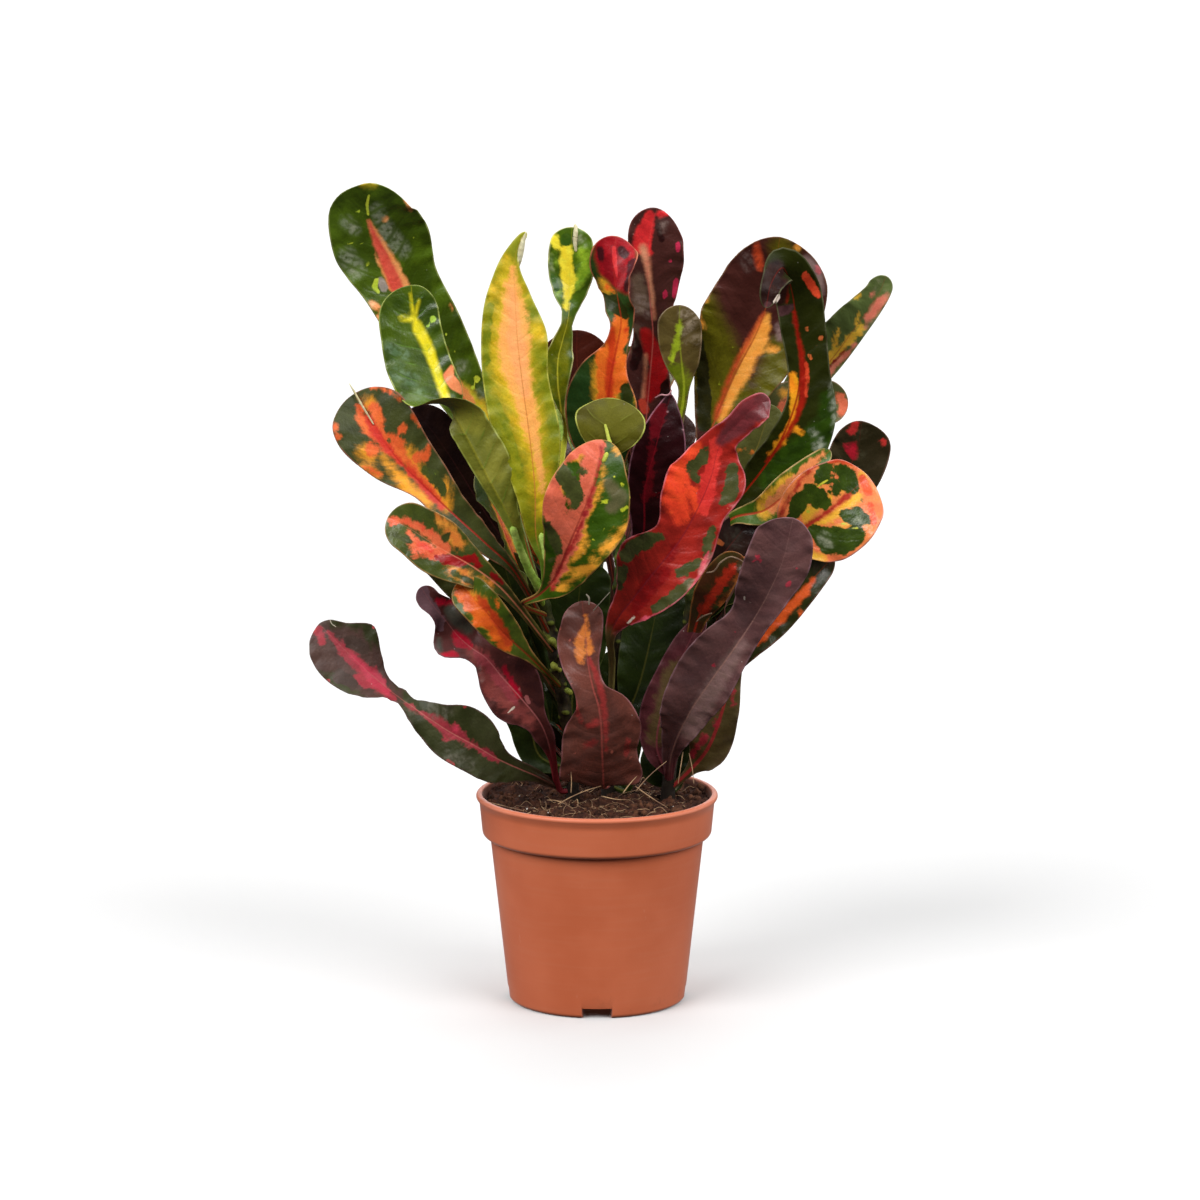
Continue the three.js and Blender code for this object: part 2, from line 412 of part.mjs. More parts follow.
function bladeSolid(form) {
  const { total, rounding } = form;
  const body = total - rounding;
  const steps = Math.max(5, Math.round(body / BLADE.step));
  const places = [];
  for (let i = 0; i <= steps; i++) places.push(body * i / steps);
  for (const t of [0.55, 0.85, 1]) places.push(body + rounding * t);
  const rings = places.map((distance, i) => {
    const here = form.at(distance);
    const petiole = Math.max(0, 1 - distance / (0.28 * total));
    const half = BLADE.thickness / 2 + petiole * (BLADE.petioleRadius - BLADE.thickness / 2);
    const ridge = i < places.length - 2 ? BLADE.ridge * (1 - petiole) : 0;
    const skin = (s, offset) => here.across(s).addScaledVector(here.normal, offset);
    return [skin(-1, half), skin(0, half), skin(1, half),
      skin(1, -half), skin(0, -half - ridge), skin(-1, -half)];
  });
  // Both faces are split along the same diagonals.
  const size = 6, points = [], faces = [];
  for (const ring of rings) for (const p of ring) points.push(p.x, p.y, p.z);
  const upperAndRims = [[0, 1], [1, 2], [2, 3], [5, 0]], lower = [[3, 4], [4, 5]];
  for (let r = 0; r + 1 < rings.length; r++) {
    const here = r * size, next = here + size;
    for (const [a, b] of upperAndRims) {
      faces.push(here + a, here + b, next + b, here + a, next + b, next + a);
    }
    for (const [a, b] of lower) {
      faces.push(here + a, here + b, next + a, here + b, next + b, next + a);
    }
  }
  const end = (rings.length - 1) * size;
  for (const [a, b, c] of [[0, 1, 5], [5, 1, 4], [1, 2, 4], [4, 2, 3]]) {
    faces.push(a, c, b, end + a, end + b, end + c);
  }
  return solid(points, faces);
}

function leafForms(stemName, curve) {
  const forms = [];
  for (const [name, stem, height, shape, stations] of FRONT_LEAVES) {
    if (stem === stemName) {
      forms.push([name, bladeForm(frontStations(curve, height, stations), shape, TO_EYE)]);
    }
  }
  for (const [name, stem, height, course, size, shape] of ROUND_LEAVES) {
    if (stem === stemName) {
      forms.push([name, bladeForm(roundStations(curve, height, course, size), shape, UP)]);
    }
  }
  return forms;
}

function leafyStem(name) {
  const curve = stemCurve(STEMS[name]);
  const blades = leafForms(name, curve).map(([, form]) => bladeSolid(form));
  return oneBody(wasm.Manifold.union([stemSolid(curve), ...blades]));
}

// ---------------------------------------------------------------- pot and soil
function arc(cx, cz, radius, from, to, steps) {
  const points = [];
  for (let i = 0; i <= steps; i++) {
    const angle = rad(lerp(from, to, i / steps));
    points.push([cx + radius * Math.cos(angle), cz + radius * Math.sin(angle)]);
  }
  return points;
}

// A lathe geometry turns about its own Y axis, which is then stood up along Z.
const turned = (profile, sides) => new THREE.LatheGeometry(
  profile.map(([r, z]) => new THREE.Vector2(r, z)), sides).rotateX(Math.PI / 2);

// The wall's radius below the band at a height: outside, and inside above the floor's rounding.
const BAND_FOOT = POT.height - POT.band.height;
const FLOOR_TOP = POT.floorLift + POT.floorThickness;
const outerRadius = (z) => lerp(POT.footRadius + 1, POT.bodyTopRadius, z / BAND_FOOT);
const innerRadius = (z) => outerRadius(z) - POT.wall;

function potSolid() {
  const { height, wall, band, beadHeight, shoulder, foot, drains } = POT;
  const beadRadius = beadHeight / 2;
  const profile = [
    [0, POT.floorLift], [POT.footRadius - foot.ringWidth, POT.floorLift],
    [POT.footRadius - foot.ringWidth + 0.6, 0],
    ...arc(POT.footRadius - foot.cornerRadius + 0.3, foot.cornerRadius, foot.cornerRadius, -90, -6, 3),
    [outerRadius(BAND_FOOT), BAND_FOOT - 0.6], [band.lowRadius - shoulder, BAND_FOOT],
    ...arc(band.lowRadius - shoulder, BAND_FOOT + shoulder + 0.2, shoulder, -80, 0, 2),
    [band.topRadius, height - beadHeight],
    ...arc(POT.rimRadius - beadRadius, height - beadRadius, beadRadius, -60, 90, 4),
    [band.topRadius - wall, height], [band.topRadius - wall - 0.2, height - beadHeight],
    [band.lowRadius - wall, BAND_FOOT + 3.2], [innerRadius(BAND_FOOT), BAND_FOOT],
    [innerRadius(FLOOR_TOP + 2), FLOOR_TOP + 2], [innerRadius(FLOOR_TOP) - 2, FLOOR_TOP],
    [0, FLOOR_TOP],
  ];
  let pot = solidOf(turned(profile, POT.sides));
  for (let i = 0; i < foot.notches; i++) {
    const notch = new THREE.BoxGeometry(foot.notchWidth, foot.notchDepth, foot.notchHeight + 1)
      .translate(0, -POT.footRadius, (foot.notchHeight - 1) / 2)
      .rotateZ(2 * Math.PI * i / foot.notches);
    pot = pot.subtract(solidOf(notch));
  }
  for (let i = 0; i < drains.count; i++) {
    const hole = new THREE.CylinderGeometry(
      drains.radius, drains.radius, POT.floorThickness + 2, drains.sides)
      .rotateX(Math.PI / 2).translate(drains.circle, 0, POT.floorLift + POT.floorThickness / 2)
      .rotateZ(2 * Math.PI * (i + 0.5) / drains.count);
    pot = pot.subtract(solidOf(hole));
  }
  return oneBody(pot);
}

// The soil's lumpy top, falling a little toward the wall.
function soilHeight(x, y) {
  const lumps = Math.sin(x * 0.31 + 1.3) * Math.cos(y * 0.27 - 0.6) + 0.5 * Math.sin(x * 0.13 - y * 0.19);
  return SOIL.top + SOIL.bump * lumps - SOIL.fall * (x * x + y * y);
}

function soilSolid(curves) {
  const gap = SOIL.clearance;
  const neckRadius = POT.band.lowRadius - POT.wall - gap - 0.2;
  const topRadius = POT.band.topRadius - POT.wall - gap - 0.8;
  const rim = (radius, z) => [...Array(POT.sides)].map((_, k) => {
    const angle = 2 * Math.PI * k / POT.sides;
    const x = radius * Math.cos(angle), y = radius * Math.sin(angle);
    return new THREE.Vector3(x, y, z ?? soilHeight(x, y));
  });
  const rings = [rim(innerRadius(FLOOR_TOP) - 2 - gap, FLOOR_TOP + gap),
    rim(innerRadius(FLOOR_TOP + 2) - gap, FLOOR_TOP + 2 + gap),
    rim(innerRadius(BAND_FOOT) - gap, BAND_FOOT + gap), rim(neckRadius, BAND_FOOT + 3.2 + gap)];
  for (let i = SOIL.rings; i > 0; i--) rings.push(rim(topRadius * i / SOIL.rings));
  let soil = solidFromRings(rings);
  for (const curve of curves) soil = soil.subtract(stemSolid(curve, HOLE_CLEARANCE));
  return oneBody(soil);
}

// ---------------------------------------------------------------- assembly
const finishes = {
  plastic: { color: 0xb4603f, roughness: 0.5, metalness: 0 },
  peat: { color: 0x3b2a22, roughness: 0.95, metalness: 0 },
  leaf: { color: 0x4c5a20, roughness: 0.4, metalness: 0 },
};

function meshOf(name, shape, finish) {
  const { numProp, vertProperties, triVerts } = shape.getMesh();
  const points = new Float32Array(3 * vertProperties.length / numProp);
  for (let i = 0; i < points.length / 3; i++) {
    for (let k = 0; k < 3; k++) points[3 * i + k] = vertProperties[numProp * i + k];
  }
  const geometry = new THREE.BufferGeometry();
  geometry.setAttribute('position', new THREE.BufferAttribute(points, 3));
  geometry.setIndex(new THREE.BufferAttribute(Uint32Array.from(triVerts), 1));
  geometry.computeVertexNormals();
  const mesh = new THREE.Mesh(geometry, new THREE.MeshStandardMaterial(finish));
  mesh.name = name;
  return mesh;
}

const group = new THREE.Group();
group.name = 'potted_croton';
group.add(meshOf('pot', potSolid(), finishes.plastic));
group.add(meshOf('soil', soilSolid(Object.values(STEMS).map(stemCurve)), finishes.peat));
for (const name of Object.keys(STEMS)) {
  group.add(meshOf(`leafy_stem_${name}`, leafyStem(name), finishes.leaf));
}

export default group;
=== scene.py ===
# Potted croton: the leaves, stems, soil and pot of the frame's solids, made fine and dressed.
# Metres, +Z up, in the CAD frame. The tables below are in millimetres or sheet units.
import math

import bpy
import numpy as np
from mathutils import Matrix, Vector


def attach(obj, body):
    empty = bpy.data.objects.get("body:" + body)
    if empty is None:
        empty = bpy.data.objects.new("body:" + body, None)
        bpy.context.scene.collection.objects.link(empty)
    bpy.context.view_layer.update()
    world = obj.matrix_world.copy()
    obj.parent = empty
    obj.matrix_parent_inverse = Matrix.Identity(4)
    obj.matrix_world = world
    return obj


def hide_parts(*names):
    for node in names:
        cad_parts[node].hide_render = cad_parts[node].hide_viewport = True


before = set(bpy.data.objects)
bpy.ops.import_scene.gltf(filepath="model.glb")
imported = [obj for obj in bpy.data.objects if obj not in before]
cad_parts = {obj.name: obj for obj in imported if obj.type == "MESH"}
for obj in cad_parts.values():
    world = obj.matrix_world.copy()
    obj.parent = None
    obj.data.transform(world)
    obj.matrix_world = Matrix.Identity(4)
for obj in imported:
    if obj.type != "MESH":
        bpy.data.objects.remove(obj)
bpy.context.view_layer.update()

MM = 0.001

# ---------------------------------------------------------------- sizes shared with the solids
POT_HEIGHT, RIM_RADIUS, FOOT_RADIUS, BODY_TOP_RADIUS = 105, 60.3, 44.1, 53.2
WALL, FLOOR_THICKNESS, FLOOR_LIFT = 1.4, 2.2, 4.5
BAND_HEIGHT, BAND_TOP_RADIUS, BAND_LOW_RADIUS = 21.2, 58.7, 57.3
BEAD_HEIGHT, SHOULDER = 3, 2.4
FOOT_RING, FOOT_CORNER, NOTCHES, NOTCH_WIDTH, NOTCH_HEIGHT = 5.5, 2.4, 4, 15, 5.2
DRAINS, DRAIN_RADIUS, DRAIN_CIRCLE = 4, 4, 24
SOIL_TOP, SOIL_CLEARANCE, SOIL_BUMP, SOIL_FALL = 100.2, 0.35, 0.7, 0.0002
PETIOLE_RADIUS, MIN_HALF_WIDTH = 1.35, 0.45

# The eye of the front view: where it stands in mm, and how it draws the upright plane through
# the pot's axis, in mm across and up.
EYE_DISTANCE, EYE_HEIGHT, EYE_ACROSS = 2500, 682.2, 1.5
EYE_PITCH, EYE_SCALE, EYE_UP = math.radians(10.86), 2568, 200
PC, PS = math.cos(EYE_PITCH), math.sin(EYE_PITCH)
TO_EYE, UP = np.array((0, -PC, PS)), np.array((0, 0, 1.0))
# The sheet that front leaves are drawn on: two units to the millimetre, y downward. Depths
# nearer than SHEET_NEAR are stretched by SHEET_BOW, as the plant is rounder than its drawing.
SHEET_UNIT, SHEET_X, SHEET_Y, SHEET_NEAR, SHEET_BOW = 0.5, 600, 1000, -12, 1.75

STEMS = {
    "left": ([[-12, 4, 62], [-13, 2, 125], [-19, -8, 165], [-27, -14, 209]], (3.8, 2.3)),
    "middle": ([[6, 14, 62], [6, 14, 130], [10, 12, 180], [12, 9, 236]], (4, 2.2)),
    "right": ([[32, 4, 62], [38, 3, 130], [45, 1, 180], [49, -1, 227]], (4, 2.3)),
    "back": ([[-6, 36, 62], [-9, 38, 130], [-12, 43, 180], [-10, 47, 228]], (3.8, 2.2)),
}

# name, stem, height of the root, [tip rounding mm, fold deg, wave mm, waves, phase], then
# [sheet x, sheet y, depth mm, half-width left, right in sheet units, roll deg] at each station
FRONT_LEAVES = [
    ["broad_upper", "left", 196, [20, 12, 1.6, 3, 0.5], [
      [505, 480, -4, 5, 5, 0], [462, 395, 6, 24, 26, 5], [427, 335, 9, 34, 38, 0],
      [398, 286, 8, 35, 42, 0], [381, 245, 5, 47, 50, 0], [371, 212, 0, 44, 46, 0],
      [370, 183, -6, 42, 46, 0]]],
    ["yellow_rib", "left", 200, [16, 10, 1.2, 2, 1], [
      [527, 562, -25, 3, 3, 180], [512, 524, -32, 9, 6, 180], [484, 470, -36, 28, 10, 180],
      [460, 424, -36, 26, 14, 150], [444, 396, -32, 38, 20, 20], [430, 358, -28, 44, 19, 0],
      [415, 316, -25, 36, 24, 0], [411, 285, -24, 34, 27, 0]]],
    ["yellow_centre", "left", 205, [3, 12, 1.4, 4, 0.2], [
      [543, 562, -30, 3, 3, 0], [536, 536, -33, 8, 8, 0], [535, 490, -33, 20, 20, 0],
      [530, 440, -32, 34, 30, 0], [522, 380, -30, 38, 26, 0], [517, 335, -28, 35, 29, 0],
      [515, 295, -26, 28, 15, 0], [514, 266, -25, 16, 5, 0], [518, 246, -24, 7, 4, 0],
      [526, 232, -23, 1.5, 1.5, 0]]],
    ["bright_twist", "left", 203, [6, 12, 1, 2, 0], [
      [554, 500, -12, 3, 3, 0], [562, 440, -4, 5, 5, 0], [561, 410, -2, 4, 4, 0],
      [558, 386, -1, 11, 10, 0], [558, 360, 0, 14, 15, 10], [563, 338, 1, 12, 11, 35],
      [568, 318, 2, 9, 8, 45], [569, 299, 5, 15, 15, 20], [570, 275, 7, 21, 23, 0],
      [571, 250, 7, 22, 23, 0], [572, 227, 7, 17, 17, 0]]],
    ["orange_left", "left", 186, [12, 14, 1.6, 3, 2], [
      [515, 572, -26, 4, 4, 0], [485, 543, -34, 12, 12, 25], [452, 513, -36, 16, 18, 10],
      [425, 487, -36, 14, 29, 0], [396, 457, -35, 30, 37, 0], [375, 425, -33, 41, 39, 0],
      [357, 392, -30, 30, 30, 0]]],
    ["rolled_left", "left", 178, [10, 14, 1.2, 2, 0.8], [
      [505, 592, -36, 6, 6, 0], [475, 568, -44, 20, 14, 0], [440, 548, -47, 28, 28, 0],
      [412, 530, -47, 24, 26, 0], [388, 517, -45, 20, 20, 0]]],
    ["red_low_left", "left", 160, [8, 12, 1, 2, 2.2], [
      [530, 657, -34, 5, 5, 0], [505, 634, -42, 16, 16, 0], [482, 607, -45, 19, 19, 0],
      [458, 582, -44, 18, 18, 0]]],
    ["dark_under_left", "left", 150, [8, 10, 1, 2, 0], [
      [510, 628, -16, 6, 6, 0], [466, 590, -26, 16, 18, 0], [436, 562, -30, 14, 16, 0],
      [414, 543, -30, 12, 12, 0]]],
    ["corkscrew_left", "left", 105, [5, 12, 1, 3, 1.1], [
      [560, 790, 0, 2.5, 2.5, 0], [552, 757, -13, 4, 4, 0], [546, 735, -18, 12, 8, 0],
      [538, 719, -22, 15, 9, 0], [520, 697, -26, 30, 26, 0], [502, 677, -28, 26, 32, 0],
      [486, 658, -30, 15, 20, 0], [470, 647, -31, 15, 17, 25], [457, 635, -32, 27, 24, 10],
      [447, 622, -33, 15, 26, -10], [438, 612, -34, 9, 18, 30], [429, 600, -34, 11, 12, 0],
      [421, 587, -34, 9, 10, 0]]],
    ["corkscrew_far_left", "left", 112, [4, 10, 1, 3, 0.4], [
      [560, 785, 0, 3, 3, 0], [532, 774, -14, 8, 7, 0], [500, 760, -24, 24, 11, 0],
      [474, 745, -29, 27, 30, 0], [450, 732, -31, 26, 31, 0], [430, 719, -31, 19, 18, 0],
      [411, 706, -30, 14, 9, 45], [398, 697, -29, 13, 12, 55], [383, 685, -28, 24, 10, 35],
      [366, 670, -27, 31, 22, 10], [348, 653, -25, 34, 37, 0], [332, 637, -23, 29, 19, 0],
      [319, 624, -21, 13, 8, 0]]],
    ["orange_front", "left", 197, [12, 14, 1.8, 3, 0.6], [
      [523, 604, -30, 2, 2, 0], [540, 594, -36, 3, 7, 0], [555, 578, -40, 12, 22, 0],
      [569, 545, -46, 26, 36, 0], [583, 512, -49, 40, 46, 0], [594, 486, -50, 40, 38, 0],
      [601, 462, -49, 32, 24, 0], [605, 440, -47, 24, 18, 0]]],
    ["olive_round", "left", 206, [14, 8, 0.8, 1, 0], [
      [592, 520, -30, 3, 3, 180], [604, 462, -40, 5, 5, 180], [607, 440, -42, 28, 26, 180],
      [611, 415, -41, 36, 36, 180], [613, 398, -39, 34, 34, 180]]],
    ["red_twist", "middle", 232, [9, 12, 1.2, 2, 0.4], [
      [612, 482, 4, 8, 8, 0], [606, 440, -4, 34, 27, 0], [608, 400, -8, 42, 29, 0],
      [612, 370, -9, 32, 15, 0], [617, 346, -9, 13, 11, 0], [621, 322, -9, 12, 13, 20],
      [618, 298, -9, 17, 17, -40], [614, 272, -8, 23, 23, -25], [614, 252, -6, 23, 23, 10],
      [616, 236, -4, 19, 19, 20]]],
    ["tall_red", "middle", 224, [13, 16, 1.2, 3, 1.2], [
      [640, 470, 18, 8, 8, 0], [646, 420, 18, 24, 26, 0], [650, 375, 18, 27, 20, 0],
      [653, 335, 18, 20, 12, 0], [650, 300, 17, 21, 26, 0], [647, 262, 14, 18, 37, 0],
      [650, 235, 12, 22, 35, 0], [657, 208, 10, 22, 28, 0]]],
    ["small_oval", "middle", 216, [10, 8, 0.6, 1, 0], [
      [672, 450, 8, 4, 4, 0], [682, 408, 4, 5, 4, 0], [684, 386, 2, 6, 6, 0], [682, 366, 1, 15, 16, 0],
      [680, 346, 0, 20, 21, 0], [679, 324, -1, 21, 22, 0], [680, 305, -1, 19, 19, 0]]],
    ["dark_spear", "middle", 200, [3, 20, 1, 2, 0.5], [
      [643, 535, -8, 12, 12, 0], [645, 490, -14, 18, 26, 0], [655, 450, -17, 22, 32, 0],
      [663, 420, -17, 14, 22, 0], [671, 394, -16, 3, 3, 0]]],
    ["big_red", "middle", 140, [5, 12, 1.6, 4, 0.3], [
      [612, 664, -12, 3, 3, 0], [610, 636, -26, 4, 5, 0], [618, 618, -32, 11, 13, 0],
      [632, 600, -37, 19, 24, 0], [656, 570, -42, 41, 38, -8], [680, 540, -44, 27, 36, 0],
      [698, 508, -45, 40, 27, 8], [711, 477, -45, 41, 35, 0], [717, 453, -45, 27, 22, 0],
      [723, 439, -46, 16, 15, 0], [736, 425, -47, 12, 15, 20], [749, 411, -48, 12, 17, 10],
      [761, 403, -48, 10, 16, 0], [770, 401, -47, 8, 12, 0]]],
    ["front_purple", "middle", 105, [7, 14, 1.6, 3, 1.4], [
      [604, 786, -6, 6, 6, 0], [603, 772, -14, 41, 38, 0], [602, 748, -20, 41, 35, 0],
      [601, 723, -24, 37, 40, 0], [598, 704, -26, 25, 31, 0], [593, 688, -27, 19, 13, 0],
      [588, 664, -27, 26, 11, 0], [586, 640, -26, 29, 16, 0], [584, 618, -25, 22, 19, 0],
      [582, 601, -24, 16, 16, 0]]],
    ["brown_behind", "middle", 196, [15, 10, 1.4, 2, 0.2], [
      [590, 450, 32, 8, 8, 0], [580, 400, 34, 26, 26, 0], [577, 360, 34, 37, 34, 0],
      [577, 330, 33, 35, 34, 0]]],
    ["big_upper_right", "right", 216, [22, 12, 2, 3, 1], [
      [697, 480, 8, 7, 7, 0], [704, 450, 9, 8, 14, 0], [717, 415, 10, 24, 28, 0],
      [736, 372, 10, 45, 42, 0], [757, 332, 9, 60, 50, 0], [768, 300, 7, 56, 57, 0],
      [775, 266, 4, 46, 54, 0], [780, 237, 0, 44, 48, 0]]],
    ["dark_curled", "right", 222, [8, 10, 1.6, 3, 0.7], [
      [716, 522, -6, 6, 6, 0], [742, 495, -10, 12, 12, 0], [765, 466, -14, 16, 28, 0],
      [780, 442, -17, 13, 44, 0], [795, 405, -19, 9, 42, 0], [801, 369, -19, 13, 28, 0],
      [797, 330, -19, 16, 28, 0], [792, 292, -20, 18, 28, 0], [783, 268, -26, 18, 20, 0],
      [771, 284, -34, 12, 10, 0], [766, 308, -36, 8, 8, 0]]],
    ["far_upper_right", "right", 208, [6, 10, 1, 3, 0.3], [
      [745, 450, 22, 5, 5, 0], [785, 408, 24, 14, 12, 0], [826, 366, 24, 30, 12, 0],
      [855, 328, 18, 25, 12, 0], [878, 295, 11, 15, 11, 0], [886, 276, 8, 12, 10, 0]]],
    ["pink_edge_right", "right", 201, [8, 10, 1, 2, 0.9], [
      [742, 486, 14, 5, 5, 0], [764, 446, 15, 14, 14, 0], [788, 414, 16, 30, 18, 0],
      [818, 404, 17, 24, 22, 0], [848, 400, 15, 18, 20, 0]]],
    ["dark_oval_right", "right", 192, [11, 10, 1, 2, 0], [
      [760, 520, 10, 5, 5, 0], [808, 504, 14, 12, 14, 0], [838, 482, 16, 22, 32, 0],
      [856, 453, 16, 26, 33, 0], [862, 421, 13, 22, 29, 0]]],
    ["blotched_right", "right", 180, [9, 12, 1.8, 3, 1.3], [
      [750, 558, -14, 5, 5, 0], [785, 542, -20, 16, 14, 0], [808, 526, -23, 39, 43, 0],
      [832, 508, -25, 46, 49, 0], [853, 490, -24, 37, 41, 0], [869, 477, -22, 20, 28, 0]]],
    ["salmon_tongue", "right", 206, [4, 14, 1.2, 2, 0.2], [
      [728, 522, -10, 5, 5, 0], [765, 510, -18, 14, 14, 0], [790, 490, -21, 18, 14, 0],
      [812, 468, -21, 13, 11, 0], [830, 450, -20, 6, 6, 0]]],
    ["purple_front_right", "right", 108, [10, 12, 1.6, 4, 0.2], [
      [672, 752, -12, 10, 8, 0], [690, 712, -26, 29, 20, 0], [710, 682, -34, 37, 24, 0],
      [733, 650, -40, 35, 18, 0], [752, 622, -44, 24, 16, 0], [768, 594, -50, 32, 20, 0],
      [783, 560, -55, 36, 27, 0], [793, 518, -58, 30, 20, 0]]],
    ["orange_rib_right", "right", 122, [8, 12, 1.6, 3, 0.8], [
      [715, 690, -8, 5, 5, 0], [742, 653, -16, 10, 12, 0], [774, 620, -20, 22, 17, 0],
      [802, 590, -21, 24, 15, 0], [833, 557, -20, 18, 9, 0]]],
    ["olive_low_right", "right", 105, [6, 12, 1.6, 3, 0], [
      [690, 770, -2, 5, 6, 0], [708, 748, -10, 20, 20, 0], [722, 712, -14, 26, 17, 0],
      [730, 680, -15, 20, 11, 0], [738, 652, -15, 10, 6, 0]]],
    ["maroon_low", "right", 112, [4, 16, 1.2, 2, 0.4], [
      [657, 748, -4, 14, 10, 0], [661, 715, -8, 22, 22, 0], [675, 676, -10, 20, 22, 0],
      [690, 640, -10, 14, 14, 0], [704, 616, -9, 5, 5, 0]]],
    ["olive_mid_right", "right", 196, [8, 10, 1, 2, 0.3], [
      [715, 520, -2, 5, 5, 0], [740, 480, -2, 16, 16, 0], [758, 445, -2, 20, 20, 0],
      [770, 404, -1, 18, 18, 0]]],
    ["dark_mid_right", "right", 172, [8, 10, 1, 2, 0.6], [
      [710, 574, -6, 7, 7, 0], [728, 548, -10, 22, 20, 0], [746, 526, -11, 19, 19, 0],
      [760, 510, -11, 16, 16, 0]]],
    ["orange_mid_right", "right", 150, [6, 12, 1, 2, 0.6], [
      [697, 622, -12, 8, 8, 0], [712, 592, -18, 17, 16, 0], [728, 570, -20, 17, 14, 0],
      [743, 556, -20, 12, 10, 0]]],
    ["shade_left", "left", 116, [8, 12, 1.2, 2, 0.3], [
      [540, 756, 2, 16, 14, 0], [530, 722, -2, 22, 20, 0], [518, 680, -5, 26, 24, 0],
      [507, 640, -7, 26, 24, 0], [500, 600, -7, 22, 22, 0]]],
    ["shade_left_high", "left", 138, [8, 12, 1.2, 2, 1.3], [
      [540, 660, -4, 6, 6, 0], [526, 625, -8, 16, 16, 0], [512, 590, -9, 22, 22, 0],
      [500, 552, -8, 20, 20, 0]]],
    ["shade_left_mid", "left", 126, [8, 12, 1.2, 2, 2.3], [
      [572, 706, 4, 6, 6, 0], [575, 655, 4, 32, 29, 0], [578, 605, 3, 38, 32, 0],
      [584, 560, 2, 34, 28, 0]]],
    ["shade_middle", "middle", 110, [9, 12, 1.2, 2, 0.9], [
      [624, 724, 8, 6, 6, 0], [640, 682, 9, 24, 24, 0], [652, 632, 12, 30, 34, 0],
      [662, 580, 15, 26, 30, 0]]],
    ["shade_right", "right", 124, [8, 12, 1.2, 2, 1.9], [
      [698, 702, 6, 6, 6, 0], [714, 660, 7, 18, 18, 0], [734, 618, 8, 24, 22, 0],
      [752, 574, 9, 20, 20, 0]]],
    ["shade_low_left", "left", 107, [8, 12, 1.2, 2, 1.7], [
      [562, 788, 6, 5, 5, 0], [557, 764, 7, 20, 18, 0], [552, 728, 8, 28, 20, 0],
      [553, 690, 9, 24, 20, 0]]],
    ["shade_low_middle", "middle", 106, [8, 12, 1.2, 2, 0.2], [
      [626, 790, 12, 4, 4, 0], [625, 768, 12, 14, 12, 0], [622, 730, 12, 22, 22, 0],
      [618, 688, 12, 24, 24, 0], [614, 650, 12, 18, 18, 0]]],
    ["shade_low_right", "right", 106, [8, 12, 1.2, 2, 2.6], [
      [676, 788, 8, 5, 5, 0], [668, 768, 9, 27, 24, 0], [670, 746, 10, 24, 26, 0],
      [677, 712, 10, 20, 20, 0]]],
    ["black_behind_left", "back", 190, [12, 10, 1.4, 2, 0.2], [
      [520, 560, 22, 10, 10, 0], [490, 520, 17, 30, 30, 0], [460, 472, 15, 36, 32, 0],
      [436, 436, 14, 28, 24, 0], [412, 408, 14, 20, 18, 0]]],
]

